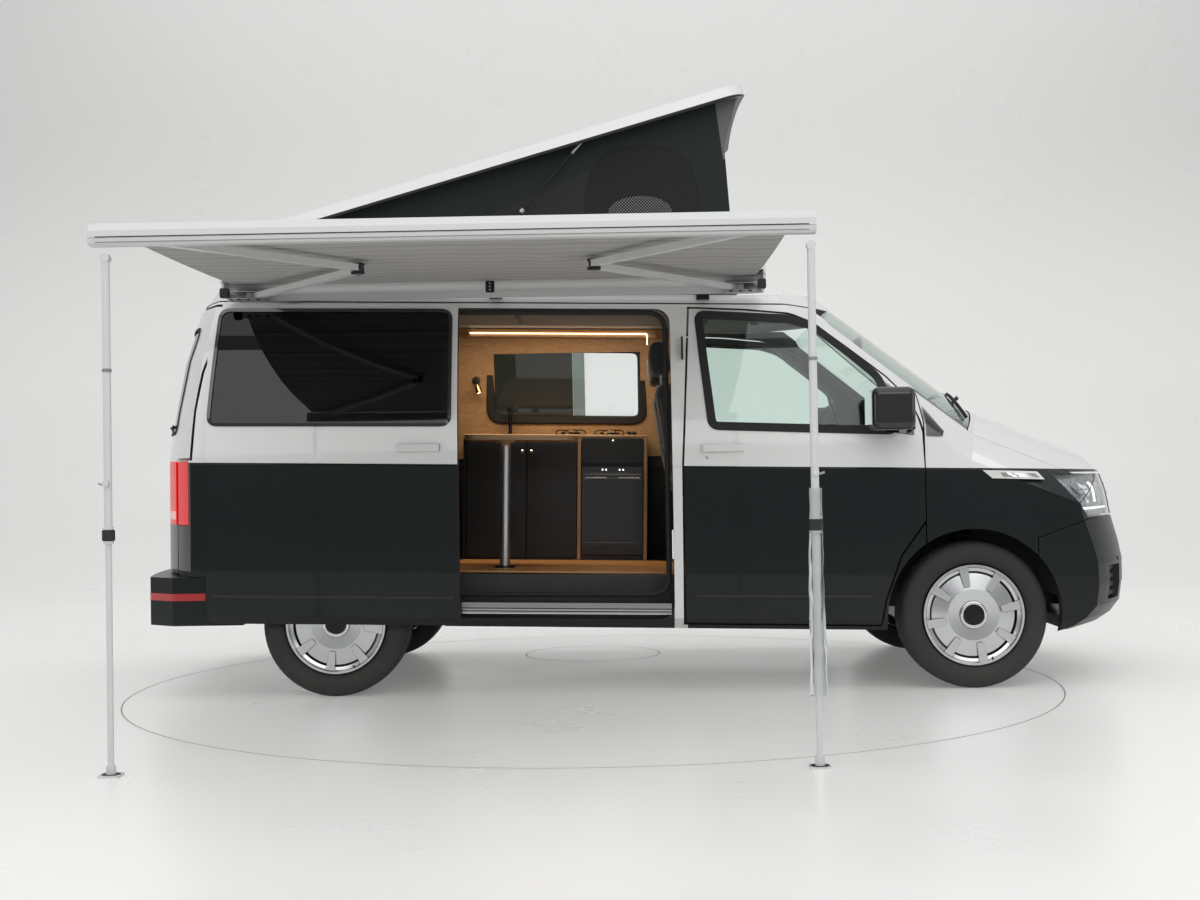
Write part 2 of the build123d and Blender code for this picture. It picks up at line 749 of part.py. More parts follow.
# ---------------------------------------------------------------- cab and living space, in the body's own plane
with BuildPart() as dashboard:
    with BuildSketch(body_side_plane(820)) as face:
        with BuildLine():
            Polyline(
                (1010, 1215), (1090, 1262), (1400, 1262), (1400, 1120), (1240, 900), (1160, 760), (1120, 760),
                (1130, 1000), (1040, 1110), close=True,
            )
        make_face()
        fillet(face.vertices(), 18)
    extrude(amount=1640)
dash = carve(dashboard.part, keep_in=[inner], cut_out=[housing_space])
write(dash, "dashboard")
bulkhead = carve(
    box_between((1262, -860, 540), (1282, 860, 1255), body_plane), keep_in=[inner],
    cut_out=[dash, arches((front_axle,), front_space + housing_wall + 1, housing_inboard_front - housing_wall - 1)],
)
with BuildPart() as underbody:
    add(floor_pan.part)
    add(bulkhead)
    add(box_between((970, -462, floor_top - floor_thick), (1282, 462, floor_top + 10), body_plane))
    add(box_between((-880, 90, 300), (-120, 420, 480)))
write(underbody.part, "floor_pan")

wheel_centre, wheel_tilt = (915, 400, 1225), 32
helm_plane = Plane(
    origin=wheel_centre, x_dir=(0, 1, 0), z_dir=(-sin(radians(90 - wheel_tilt)), 0, cos(radians(90 - wheel_tilt)))
)
with BuildPart() as steering_wheel:
    with BuildSketch(Plane(origin=wheel_centre, x_dir=helm_plane.z_dir, z_dir=(0, 1, 0))):
        with Locations((0, 175)):
            Circle(15)
    revolve(axis=Axis(wheel_centre, helm_plane.z_dir))
    with BuildSketch(helm_plane.offset(-26)):
        Circle(58)
        with PolarLocations(0, 3, start_angle=0, angular_range=180, rotate=True):
            with Locations((88, 0)):
                Rectangle(150, 34)
    extrude(amount=24)
    with BuildSketch(helm_plane.offset(-150)):
        Circle(34)
    extrude(amount=130)
helm = carve(steering_wheel.part, cut_out=[dash])
write(helm, "steering_wheel")

SEAT_BACK = [(216, 905), (100, 905), (-10, 1470), (70, 1482)]  # x, z in the body's plane
seat_half = 245


def seat(y):
    """Cab seat on its pedestal, with a leaning back and a headrest, centred on y."""
    side_plane = body_side_plane(y + seat_half)
    with BuildPart() as block:
        with BuildSketch(side_plane) as back:
            with BuildLine():
                Polyline(*SEAT_BACK, close=True)
            make_face()
            fillet(back.vertices(), 24)
        extrude(amount=2 * seat_half)
        with BuildSketch(side_plane) as cushion:
            with BuildLine():
                Polyline((110, 800), (660, 820), (680, 950), (220, 930), (120, 940), close=True)
            make_face()
            fillet(cushion.vertices(), 24)
        extrude(amount=2 * seat_half)
        with BuildSketch(side_plane.offset(seat_half - 125)) as headrest:
            with BuildLine():
                Polyline((-22, 1512), (-34, 1680), (50, 1690), (80, 1520), close=True)
            make_face()
            fillet(headrest.vertices(), 26)
        extrude(amount=250)
        with BuildSketch(side_plane.offset(seat_half - 60)):
            with Locations((26, 1500)):
                Rectangle(14, 80)
        extrude(amount=14)
        with BuildSketch(side_plane.offset(seat_half + 46)):
            with Locations((26, 1500)):
                Rectangle(14, 80)
        extrude(amount=14)
    return block.part


seat_y = 430
write(both_sides(seat(seat_y)), "cab_seats")

kitchen_rear, kitchen_front, kitchen_near, kitchen_far = -1052, -32, 420, 850
worktop_top, worktop_thick = 1242, 28
side_board = 18
fridge_rear, fridge_front = -398, -50
DOOR_LINES = (-1030, -722)  # upright gaps beside the cupboard doors
line_width, line_depth = 4, 4
with BuildPart(body_plane) as kitchen:
    height = worktop_top - worktop_thick - floor_top
    with Locations(((kitchen_rear + kitchen_front) / 2, (kitchen_near + kitchen_far) / 2, floor_top + height / 2)):
        Box(kitchen_front - kitchen_rear, kitchen_far - kitchen_near, height)
    with Locations(((fridge_rear + fridge_front) / 2, kitchen_near + 200, floor_top + 20 + 265)):
        Box(fridge_front - fridge_rear, 400, 530, mode=Mode.SUBTRACT)
    with Locations(((fridge_rear + fridge_front) / 2, kitchen_near + 190, floor_top + 20 + 262)):
        Box(fridge_front - fridge_rear - 6, 376, 524)
    for x in DOOR_LINES:
        with Locations((x, kitchen_near, floor_top + height / 2)):
            Box(line_width, 2 * line_depth, height - 30, mode=Mode.SUBTRACT)
    with Locations(((fridge_rear + fridge_front) / 2, kitchen_near, floor_top + 558)):
        Box(fridge_front - fridge_rear, 2 * line_depth, line_width, mode=Mode.SUBTRACT)
    with Locations((fridge_rear + 60, kitchen_near - 4, floor_top + 500)):
        Box(90, 22, 14)
    with Locations((fridge_rear - 9, kitchen_near + 9 - 18, floor_top + height / 2)):
        Box(side_board, 18, height)
    with Locations((kitchen_front + 9 - 18, kitchen_near - 9, floor_top + height / 2)):
        Box(side_board, 18, height)
write(kitchen.part, "kitchen_unit")
with BuildPart(body_plane) as worktop:
    with Locations(
        ((kitchen_rear + kitchen_front) / 2, (kitchen_near - 20 + kitchen_far) / 2, worktop_top - worktop_thick / 2)
    ):
        Box(kitchen_front - kitchen_rear, kitchen_far - kitchen_near + 20, worktop_thick)
    chamfer(worktop.faces().sort_by(Axis.Z)[-1].edges(), 3)
    with Locations((-820, 640, worktop_top - worktop_thick / 2)):
        Box(320, 260, worktop_thick + 2, mode=Mode.SUBTRACT)
write(worktop.part, "worktop")

lining_wall = 10
with BuildPart() as lining_zone:
    with BuildSketch(Plane.XZ.offset(-far)) as face:
        with BuildLine():
            Polyline((-1960, 1130), (146, 1130), (146, 1858), (-1960, 1900), close=True)
        make_face()
        with BuildLine():
            Polyline((-880, 1735), (-30, 1735), (-30, 1352), (-880, 1352), close=True)
        make_face(mode=Mode.SUBTRACT)
    extrude(amount=far - 600)
wall_lining = carve(
    inner,
    keep_in=[lining_zone.part],
    cut_out=[hull(body_wall + lining_wall), kitchen.part, worktop.part, above_gutter],
)
write(wall_lining, "wall_lining")

bench_rear, bench_front = -1760, -1080
bench_y, bench_wide = -190, 1120
with BuildPart(body_plane) as bench_seat:
    with Locations(((bench_rear + bench_front) / 2 + 60, bench_y, 900)):
        Box(bench_front - bench_rear - 120, bench_wide, 110)
    fillet(bench_seat.edges(), 30)

with BuildPart() as bench_cushions:
    with BuildSketch(body_side_plane(bench_y + bench_wide / 2)) as face:
        with BuildLine():
            Polyline((-1640, 962), (-1740, 1480), (-1640, 1500), (-1530, 962), close=True)
        make_face()
        fillet(face.vertices(), 30)
    extrude(amount=bench_wide)
    add(bench_seat.part)
write(bench_cushions.part, "bench_cushions")
with BuildPart(body_plane) as seat_bases:
    with Locations(((bench_rear + bench_front) / 2 + 40, bench_y, (floor_top + 844) / 2)):
        Box(bench_front - bench_rear - 180, bench_wide - 60, 844 - floor_top)
    add(
        arches((rear_axle,), arch_radius + housing_wall + 2, housing_inboard_rear - housing_wall - 2),
        mode=Mode.SUBTRACT,
    )
    for y in (-seat_y, seat_y):
        with Locations((380, y, (floor_top + 798) / 2)):
            Box(400, 380, 798 - floor_top)
write(seat_bases.part, "seat_bases")

leg_x, leg_y = -755, -350
with BuildPart(body_plane) as table:
    with Locations((leg_x, leg_y, floor_top + 5)):
        Cylinder(58, 10)
    with Locations((leg_x, leg_y, (floor_top + 10 + 1180) / 2)):
        Cylinder(26, 1180 - floor_top - 10)
    with Locations((leg_x, leg_y, 1186)):
        Cylinder(52, 12)
    with BuildSketch(body_plane.offset(1192)):
        with Locations((-680, -150)):
            RectangleRounded(560, 620, 70)
    extrude(amount=24)
write(table.part, "table")

# ---------------------------------------------------------------- lifting roof, drawn raised
roof_rise = 15.6  # slope of the raised roof, rear low
rim_point = (-22, 2716)  # the raised rim's lower edge passes here: x, z
roof_rear_x = -2150
roof_length, roof_half = 2745, 734
roof_edge, roof_crown_rise, roof_skin = 60, 34, 20
closed_rim = 1899  # height of the rim's lower edge when shut, in the body's own plane
link_length, link_y = 230, 600
roof_pivot = (80, 30)  # of the link on the roof: along the rim, above its lower edge

rise = radians(roof_rise)
lean = radians(rake)
roof_origin = Vector(roof_rear_x, 0, rim_point[1] + (roof_rear_x - rim_point[0]) * tan(rise))
roof_plane = Plane(origin=roof_origin, x_dir=(cos(rise), 0, sin(rise)), z_dir=(-sin(rise), 0, cos(rise)))


def on_roof(u, w, plane=roof_plane):
    """Point on the centre plane, given along and above the rim."""
    return plane.origin + plane.x_dir * u + plane.z_dir * w


def body_point(xb, zb):
    """Point on the centre plane, given along and above the body's own plane."""
    return body_plane.origin + body_plane.x_dir * xb + body_plane.z_dir * zb


# raised, the link leans up and back from its base pin; shut, it lies along the roof behind it
lift_pin = on_roof(*roof_pivot)
lift_along = (lift_pin - body_plane.origin).dot(body_plane.x_dir)
lift_above = (lift_pin - body_plane.origin).dot(body_plane.z_dir)
pin_above = closed_rim + roof_pivot[1]
link_angle = degrees(asin((lift_above - pin_above) / link_length))
base_pin = body_point(lift_along + link_length * cos(radians(link_angle)), pin_above)
shut_pin = body_point(lift_along + link_length * (cos(radians(link_angle)) - 1), pin_above)
roof_turn = roof_rise + rake  # from shut to raised

crown_bend = (roof_half**2 + roof_crown_rise**2) / (2 * roof_crown_rise)


def roof_crown(inset):
    """Long cylinder that gives the roof shell its crown, or its inside with inset."""
    middle = on_roof(-100, roof_edge + roof_crown_rise - crown_bend)
    with BuildPart() as bend:
        with BuildSketch(Plane(origin=middle, x_dir=(0, 1, 0), z_dir=roof_plane.x_dir)):
            Circle(crown_bend - inset)
        extrude(amount=roof_length + 200)
    return bend.part


def roof_block(margin, start, height, corner):
    """Block over the roof's plan outline, moved in by margin."""
    with BuildPart() as block:
        with BuildSketch(roof_plane.offset(start)):
            with Locations((roof_length / 2, 0)):
                RectangleRounded(roof_length - 2 * margin, 2 * (roof_half - margin), corner)
        extrude(amount=height)
    return block.part


rim_wall, roof_gap = 34, 6
shut_plane = Plane(
    origin=shut_pin - body_plane.x_dir * roof_pivot[0] - body_plane.z_dir * (roof_pivot[1] + roof_gap),
    x_dir=body_plane.x_dir, z_dir=body_plane.z_dir,
)
under_roof = outer.moved(roof_plane.location * shut_plane.location.inverse())  # fixed roof as the shut shell meets it
roof_hollow = carve(roof_block(rim_wall, -5, 120, 90), keep_in=[roof_crown(roof_skin)])
roof_outer = carve(
    roof_block(0, 0, roof_edge + roof_crown_rise + 1, 110), keep_in=[roof_crown(0)], cut_out=[under_roof]
)


def plate_along(points, y_middle, width, corner=0):
    """Plate standing fore and aft, over (x, z) points, centred on y."""
    return side_prism(points, y_middle - width / 2, y_middle + width / 2, corner)


def pin_at(point, y_low, y_high, radius):
    """Round pin across the van."""
    with BuildPart() as pin:
        with BuildSketch(Plane.XZ.offset(-y_high)):
            with Locations((point.X, point.Z)):
                Circle(radius)
        extrude(amount=y_high - y_low)
    return pin.part


link_thick, link_depth, pin_radius = 14, 22, 6
lug_gap = 0.5


def link_bar(start, end, y_middle, width, depth):
    """Flat bar with rounded ends from one point to another."""
    along = end - start
    plane = Plane(
        origin=((start + end) * 0.5 + Vector(0, y_middle + width / 2, 0)),
        x_dir=along.normalized(), z_dir=(0, -1, 0),
    )
    with BuildPart() as bar:
        with BuildSketch(plane):
            SlotCenterToCenter(along.length, depth)
        extrude(amount=width)
    return bar.part


# gas struts, outside the canvas
strut_y, strut_above = 680, 24  # both eyes stand this far above the shut roof's rim
strut_low = body_point(-982, closed_rim + strut_above)
strut_high = on_roof(1928, strut_above)
strut_radius, strut_rod_radius, strut_eye, strut_pin = 11, 5, 11, 4
cylinder_length, strut_rod_length = 500, 525

roof_lugs = []
base_lugs = []
for side in (-1, 1):
    lug_y = side * (link_y - link_thick / 2 - lug_gap - 5)
    top = on_roof(roof_pivot[0], 66)
    roof_lugs.append(
        carve(
            plate_along(
                [(lift_pin.X - 16, lift_pin.Z), (top.X - 26, top.Z + 8), (top.X + 26, top.Z + 8), (lift_pin.X + 16, lift_pin.Z)],
                lug_y, 10,
            ),
            keep_in=[roof_block(0, -5, 75, 90)],
        )
    )
    base_lugs.append(
        plate_along(
            [(base_pin.X - 14, base_pin.Z + 8), (base_pin.X - 26, base_pin.Z - 42), (base_pin.X + 26, base_pin.Z - 42), (base_pin.X + 14, base_pin.Z + 8)],
            lug_y, 10,
        )
    )
with BuildPart() as shell:
    add(roof_outer)
    add(roof_hollow, mode=Mode.SUBTRACT)
    for lug, side in zip(roof_lugs, (-1, 1)):
        add(lug)
        inner_end = side * (link_y - link_thick / 2 - lug_gap - 10)
        outer_end = side * (link_y + link_thick / 2 + 2)
        add(pin_at(lift_pin, min(inner_end, outer_end), max(inner_end, outer_end), pin_radius))
        add(pin_at(strut_high, *sorted((side * (strut_y - 7), side * (roof_half - 20))), strut_pin))
write(shell.part, "roof_shell")

with BuildPart() as roof_links:
    for side in (-1, 1):
        add(link_bar(base_pin, lift_pin, side * link_y, link_thick, link_depth))
        for pin in (base_pin, lift_pin):
            add(pin_at(pin, side * link_y - 20, side * link_y + 20, pin_radius + 0.3), mode=Mode.SUBTRACT)
write(roof_links.part, "roof_links")
with BuildPart() as roof_brackets:
    for lug, side in zip(base_lugs, (-1, 1)):
        add(carve(lug, cut_out=[outer]))
        inner_end = side * (link_y - link_thick / 2 - lug_gap - 10)
        outer_end = side * (link_y + link_thick / 2 + 2)
        add(pin_at(base_pin, min(inner_end, outer_end), max(inner_end, outer_end), pin_radius))

strut_line = (strut_high - strut_low).normalized()


def strut_rod(start, end, radius, y):
    """Round rod between two points of the centre plane, moved out to y."""
    with BuildPart() as rod:
        with BuildSketch(Plane(origin=start + Vector(0, y, 0), z_dir=(end - start).normalized())):
            Circle(radius)
        extrude(amount=(end - start).length)
    return rod.part


cylinder_end = strut_low + strut_line * cylinder_length
bore_start = strut_low + strut_line * 40
rod_start = strut_high - strut_line * strut_rod_length
with BuildPart() as strut_cylinders:
    for side in (-1, 1):
        add(strut_rod(strut_low + strut_line * 12, cylinder_end, strut_radius, side * strut_y))
        add(strut_rod(bore_start, cylinder_end + strut_line, strut_rod_radius + 0.5, side * strut_y), mode=Mode.SUBTRACT)
        add(pin_at(strut_low, side * strut_y - 6, side * strut_y + 6, strut_eye + 2))
        add(pin_at(strut_low, side * strut_y - 7, side * strut_y + 7, strut_pin + 0.3), mode=Mode.SUBTRACT)
write(strut_cylinders.part, "strut_cylinders")
with BuildPart() as strut_rods:
    for side in (-1, 1):
        add(strut_rod(rod_start, strut_high - strut_line * 8, strut_rod_radius, side * strut_y))
        add(pin_at(strut_high, side * strut_y - 6, side * strut_y + 6, strut_eye))
        add(pin_at(strut_high, side * strut_y - 7, side * strut_y + 7, strut_pin + 0.3), mode=Mode.SUBTRACT)
write(strut_rods.part, "strut_rods")
with BuildPart() as strut_brackets:
    for side in (-1, 1):
        foot_y = side * (strut_y - 16)
        add(
            carve(
                plate_along(
                    [(strut_low.X - 14, strut_low.Z + 6), (strut_low.X - 30, strut_low.Z - 60), (strut_low.X + 30, strut_low.Z - 60), (strut_low.X + 14, strut_low.Z + 6)],
                    foot_y, 8,
                ),
                cut_out=[outer],
            )
        )
        pin_low, pin_high = sorted((side * (strut_y - 18), side * (strut_y + 6)))
        add(pin_at(strut_low, pin_low, pin_high, strut_pin))

# canvas walls of the roof tent
canvas_half, canvas_wall = 652, 6
CANVAS = [(-2060, 1880), (440, 1880), (436, 1935), (384, 2620), (430, 2830), (430, 2900), (-2104, 2250), (-2104, 2000)]
canvas_top = roof_block(-200, 24, 400, 20)
canvas = carve(
    side_prism(CANVAS, -canvas_half, canvas_half),
    cut_out=[
        side_prism(CANVAS, -canvas_half + canvas_wall, canvas_half - canvas_wall, grow=-canvas_wall),
        outer,
        canvas_top,
        hatch.part,
    ],
)
write(canvas, "roof_canvas")
with BuildPart(body_plane) as bed:
    with BuildSketch(body_plane.offset(gutter_z + 10)):
        with Locations(((opening_front + opening_rear) / 2, 0)):
            RectangleRounded(opening_front - opening_rear - 16, 2 * opening_half - 16, 82)
    extrude(amount=62)
write(bed.part, "roof_bed")

# ---------------------------------------------------------------- awning, drawn wound out
arm_length = 1124
arm_open, arm_shut = 53.7, 1.0  # angle of each arm from the van's side
shoulder_rear, shoulder_front = -1878, 429
shoulder_y, arm_z_low = -945, 1881
arm_width, arm_thick, arm_side_gap = 36, 26, 3
case_rear, case_front = -2000, 545
case_inner_y = -838
case_low, case_high = 1879, 1985
rail_rear, rail_front = -1986, 558
rail_low, rail_high, rail_deep = 1857, 1940, 62
elbow_reach = arm_length * cos(radians(arm_open))
elbow_out = arm_length * sin(radians(arm_open))
rail_pin_y = shoulder_y - 2 * elbow_out
rail_travel = 2 * arm_length * (sin(radians(arm_open)) - sin(radians(arm_shut)))


def awning_arm(start, end, outside, z_low):
    """Arm between two upright pins; its bar lies on the outside of the elbow's bend."""
    along = (end - start).normalized()
    across = Vector(-along.Y, along.X, 0) * outside
    middle = (start + end) * 0.5 + across * (arm_side_gap + arm_width / 2)
    plane = Plane(origin=(middle.X, middle.Y, z_low), x_dir=along, z_dir=(0, 0, 1))
    length = (end - start).length
    with BuildPart() as arm:
        with BuildSketch(plane):
            RectangleRounded(length - 24, arm_width, 8)
        extrude(amount=arm_thick)
    return arm.part


def upright(point, radius, z_low, z_high):
    """Round boss or pin standing at a point."""
    with BuildPart() as post:
        with BuildSketch(Plane((point.X, point.Y, z_low))):
            Circle(radius)
        extrude(amount=z_high - z_low)
    return post.part


boss_radius, arm_pin, boss_gap, boss_room = 19, 7, 0.5, 2
lug_half = 8  # narrow enough to pass beside a folded arm
pin_play = 0.3
lower_half = (arm_z_low, arm_z_low + arm_thick / 2 - boss_gap / 2)
upper_half = (arm_z_low + arm_thick / 2 + boss_gap / 2, arm_z_low + arm_thick)
room_below = (arm_z_low - 1, upper_half[0])
room_above = (lower_half[1], arm_z_low + arm_thick + 1)
ARMS = [("rear", shoulder_rear, 1), ("front", shoulder_front, -1)]  # name, shoulder x, side the elbow points to
for name, shoulder_x, toward in ARMS:
    shoulder = Vector(shoulder_x, shoulder_y, 0)
    elbow = shoulder + Vector(toward * elbow_reach, -elbow_out, 0)
    rail_pin = Vector(shoulder_x, rail_pin_y, 0)
    with BuildPart() as inner_arm:
        add(awning_arm(shoulder, elbow, toward, arm_z_low))
        for pin in (shoulder, elbow):
            add(upright(pin, boss_radius + boss_room, *room_above), mode=Mode.SUBTRACT)
            add(upright(pin, boss_radius, *lower_half))
        add(upright(shoulder, arm_pin + pin_play, arm_z_low - 1, arm_z_low + arm_thick + 1), mode=Mode.SUBTRACT)
        add(upright(elbow, arm_pin, arm_z_low, arm_z_low + arm_thick))
    write(inner_arm.part, f"arm_inner_{name}")
    with BuildPart() as outer_arm:
        add(awning_arm(elbow, rail_pin, toward, arm_z_low))
        for pin in (elbow, rail_pin):
            add(upright(pin, boss_radius + boss_room, *room_below), mode=Mode.SUBTRACT)
            add(upright(pin, boss_radius, *upper_half))
            add(upright(pin, arm_pin + pin_play, arm_z_low - 1, arm_z_low + arm_thick + 1), mode=Mode.SUBTRACT)
    write(outer_arm.part, f"arm_outer_{name}")

# case: a back, a lid and end plates about the roller, open towards the rail
case_wall, lid_reach = 5, -1040
roller_y, roller_z, roller_radius = -886, 1944, 34
with BuildPart() as awning_case:
    with BuildSketch(Plane.YZ.offset(case_rear)) as channel:
        with BuildLine():
            Polyline(
                (case_inner_y, case_low), (case_inner_y, case_high), (lid_reach, case_high), (lid_reach, case_high - 18),
                (lid_reach + case_wall, case_high - 18), (lid_reach + case_wall, case_high - case_wall),
                (case_inner_y - case_wall, case_high - case_wall), (case_inner_y - case_wall, case_low), close=True,
            )
        make_face()
    extrude(amount=case_front - case_rear)
    for x in (case_rear, case_front - 12):
        with BuildSketch(Plane.YZ.offset(x)):
            with BuildLine():
                Polyline(
                    (case_inner_y, case_low), (case_inner_y, case_high), (lid_reach, case_high), (lid_reach, 1950),
                    (-1012, 1950), (-1012, 1912), (-930, 1912), (-905, case_low), close=True,
                )
            make_face()
        extrude(amount=12)
    with BuildSketch(Plane.YZ.offset(case_rear)):
        with Locations((roller_y, roller_z)):
            Circle(roller_radius)
    extrude(amount=case_front - case_rear)
    for name, shoulder_x, toward in ARMS:
        shoulder = Vector(shoulder_x, shoulder_y, 0)
        add(upright(shoulder, boss_radius, *upper_half))
        add(box_between((shoulder_x - lug_half, shoulder_y, upper_half[0]), (shoulder_x + lug_half, case_inner_y, upper_half[1])))
        add(upright(shoulder, arm_pin, arm_z_low, arm_z_low + arm_thick))
write(awning_case.part, "awning_case")

with BuildPart() as case_brackets:
    for x in (-1700, -730, 260):
        z = leaning(x, section_gutter[1])
        add(box_between((x - 30, case_inner_y + 1, z + 16), (x + 30, -744, z + 50)))
case_bracket = carve(case_brackets.part, cut_out=[outer, awning_case.part])
with BuildPart() as roof_fittings:
    add(roof_brackets.part)
    add(strut_brackets.part)
    add(case_bracket)
write(roof_fittings.part, "roof_fittings")

rail_inner_y = rail_pin_y - 44
with BuildPart() as rail:
    with BuildSketch(Plane.YZ.offset(rail_rear)) as section:
        with BuildLine():
            Polyline(
                (rail_inner_y, rail_low), (rail_inner_y, 1922), (rail_inner_y - 20, rail_high),
                (rail_inner_y - 44, rail_high - 6), (rail_inner_y - rail_deep, 1908), (rail_inner_y - rail_deep, 1884),
                (rail_inner_y - rail_deep + 3, 1882), (rail_inner_y - rail_deep, 1880),
                (rail_inner_y - rail_deep + 4, rail_low + 8), (rail_inner_y - rail_deep + 14, rail_low), close=True,
            )
        make_face()
    extrude(amount=rail_front - rail_rear)
    for name, shoulder_x, toward in ARMS:
        rail_pin = Vector(shoulder_x, rail_pin_y, 0)
        add(upright(rail_pin, boss_radius, *lower_half))
        add(
            box_between(
                (shoulder_x - lug_half, rail_inner_y - 2, lower_half[0]),
                (shoulder_x + lug_half, rail_pin_y - 10, lower_half[1]),
            )
        )
        add(upright(rail_pin, arm_pin, arm_z_low, arm_z_low + arm_thick))
write(rail.part, "awning_rail")

fabric_thick, fabric_edge = 3, 40
fabric_start = (-924, 1952)
with BuildPart() as fabric:
    with BuildSketch(Plane.YZ.offset(case_rear + fabric_edge)):
        with BuildLine():
            Polyline(
                fabric_start, (rail_inner_y + 1, 1931), (rail_inner_y + 1, 1931 - fabric_thick),
                (fabric_start[0], fabric_start[1] - fabric_thick), close=True,
            )
        make_face()
    extrude(amount=case_front - case_rear - 2 * fabric_edge)
write(fabric.part, "awning_fabric")

# legs: a tube hinged under each end of the rail, with a rod that slides in it
leg_pin_z, leg_tube, leg_bore, leg_rod = 1815, 14, 11.5, 11
leg_tube_end, leg_rod_top = 812, 1000
leg_y_middle = rail_inner_y - rail_deep / 2
foot_size, foot_thick, peg_hole = 72, 8, 5.5
LEGS = [("rear", -1932), ("front", 540)]
for name, x in LEGS:
    foot = Vector(x, leg_y_middle, 0)
    with BuildPart() as tube:
        add(upright(foot, leg_tube, leg_tube_end, leg_pin_z))
        add(upright(foot, leg_tube + 4, leg_tube_end, leg_tube_end + 60))
        add(upright(foot, leg_bore, leg_tube_end - 1, leg_pin_z - 16), mode=Mode.SUBTRACT)
        with BuildSketch(Plane.XZ.offset(-foot.Y - 16)):
            with Locations((x, leg_pin_z)):
                Circle(leg_tube + 2)
        extrude(amount=32)
        with BuildSketch(Plane.XZ.offset(-foot.Y + leg_tube - 1.5)):
            with Locations((x, 1024)):
                Circle(12)
        extrude(amount=18)
    write(tube.part, f"leg_tube_{name}")
    with BuildPart() as rod:
        add(upright(foot, leg_rod, foot_thick, leg_rod_top))
        with Locations((x, foot.Y, foot_thick / 2)):
            Box(foot_size, foot_size, foot_thick)
        add(upright(foot, leg_rod + 6, foot_thick, foot_thick + 30))
        add(upright(foot - Vector(0, 26, 0), peg_hole, -1, foot_thick + 1), mode=Mode.SUBTRACT)
    write(rod.part, f"leg_rod_{name}")

# ---------------------------------------------------------------- exhaust
with BuildPart() as exhaust:
    with BuildLine() as route:
        FilletPolyline(
            (900, -120, 300), (-560, -160, 320), (-840, -180, 425), (-1500, -180, 430), (-2050, -260, 385), radius=90
        )
    with BuildSketch(Plane(origin=route.line @ 0, z_dir=route.line % 0)):
        Circle(30)
    sweep()
    with Locations((-2080, -150, 385)):
        Box(260, 640, 150)
    fillet(exhaust.faces().filter_by(Axis.X).edges().filter_by(Axis.Y), 30)
write(exhaust.part, "exhaust")
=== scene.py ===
# %% [markdown]
# # A camper van with its roof up and its awning out
# The rigid parts come packed as a frame that stays as it is. This script gives every part its finish and adds
# what a drawing office leaves out: tyre tread, seals, cushions, canvas, awning cloth, lamps and kitchen fittings.
# Metres throughout: x forward, y to the van's left, z up, origin on the ground between the axles.

# %% frame and small tools
from math import cos, pi, radians, sin, tan

import bmesh
import bpy
import numpy as np
from mathutils import Matrix, Vector
from mathutils.bvhtree import BVHTree


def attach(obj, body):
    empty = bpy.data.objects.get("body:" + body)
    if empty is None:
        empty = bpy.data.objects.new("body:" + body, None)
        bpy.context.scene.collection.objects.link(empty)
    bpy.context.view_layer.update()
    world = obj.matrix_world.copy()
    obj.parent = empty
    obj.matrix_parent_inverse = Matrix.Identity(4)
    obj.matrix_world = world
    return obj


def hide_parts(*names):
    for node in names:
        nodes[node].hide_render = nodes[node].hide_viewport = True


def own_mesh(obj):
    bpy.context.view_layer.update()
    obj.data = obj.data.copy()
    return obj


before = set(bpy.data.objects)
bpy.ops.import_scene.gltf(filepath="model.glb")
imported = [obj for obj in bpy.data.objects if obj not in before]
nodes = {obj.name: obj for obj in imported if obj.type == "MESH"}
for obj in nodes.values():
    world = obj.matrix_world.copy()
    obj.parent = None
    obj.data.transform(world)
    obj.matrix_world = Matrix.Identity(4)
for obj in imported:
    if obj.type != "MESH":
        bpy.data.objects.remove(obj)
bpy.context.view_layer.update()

RAKE, RISE = radians(1.3), radians(15.6)  # the body leans nose down; the raised roof slopes up to the front
WAIST = 1.065  # height above the origin of the line where the two paints meet
AXLE_X, WHEEL_Y, AXLE_Z = 1.5, 0.82, 0.342
RIM_POINT = (-0.022, 2.716)  # the raised roof's lower edge passes here: x, z
ROOF_REAR = -2.15
ROOF_FOOT_Z = RIM_POINT[1] + (ROOF_REAR - RIM_POINT[0]) * tan(RISE)  # height of that edge at the rear
SHOULDERS = {"rear": (-1.878, -0.945), "front": (0.429, -0.945)}  # the awning arms' pins: x, y
ELBOWS = {"rear": (-1.21258, -1.85086), "front": (-0.236423, -1.85086)}
ARM_Z = 1.894
LEG_X, LEG_Y = {"rear": -1.932, "front": 0.540}, -2.8317
TABLE_POST_X = -0.755
HANDS = ((1, "left"), (-1, "right"))


# %% [markdown]
# ## Surfaces as arrays
# A piece is a grid of points worked out at once for all its rows and columns, then joined by quads. Paths carry a
# profile with them by keeping its frame from twisting, and a profile turned about an axis makes everything round.


# %% mesh builders
SHARP = radians(38)  # faces that meet at more than this keep a crisp edge between them


def grid_quads(rows, columns, close_rows=False, close_columns=False, start=0):
    """Corner numbers of the quads of a grid of points, rows first; closed ways wrap round to their start."""
    r = np.arange(rows if close_rows else rows - 1)
    c = np.arange(columns if close_columns else columns - 1)
    r, c = np.meshgrid(r, c, indexing="ij")
    r2, c2 = (r + 1) % rows, (c + 1) % columns
    quads = np.stack([r * columns + c, r * columns + c2, r2 * columns + c2, r2 * columns + c], axis=-1)
    return quads.reshape(-1, 4) + start


def together(*coordinates):
    """A grid of points out of one array for each coordinate, spread over each other's rows and columns."""
    return np.stack(np.broadcast_arrays(*coordinates), -1)


def join(*parts):
    """One points-and-faces pair out of many."""
    points, faces, start = [], [], 0
    for part_points, part_faces in parts:
        points.append(np.asarray(part_points, float).reshape(-1, 3))
        faces += [[int(i) + start for i in face] for face in part_faces]
        start += len(points[-1])
    return np.concatenate(points), faces


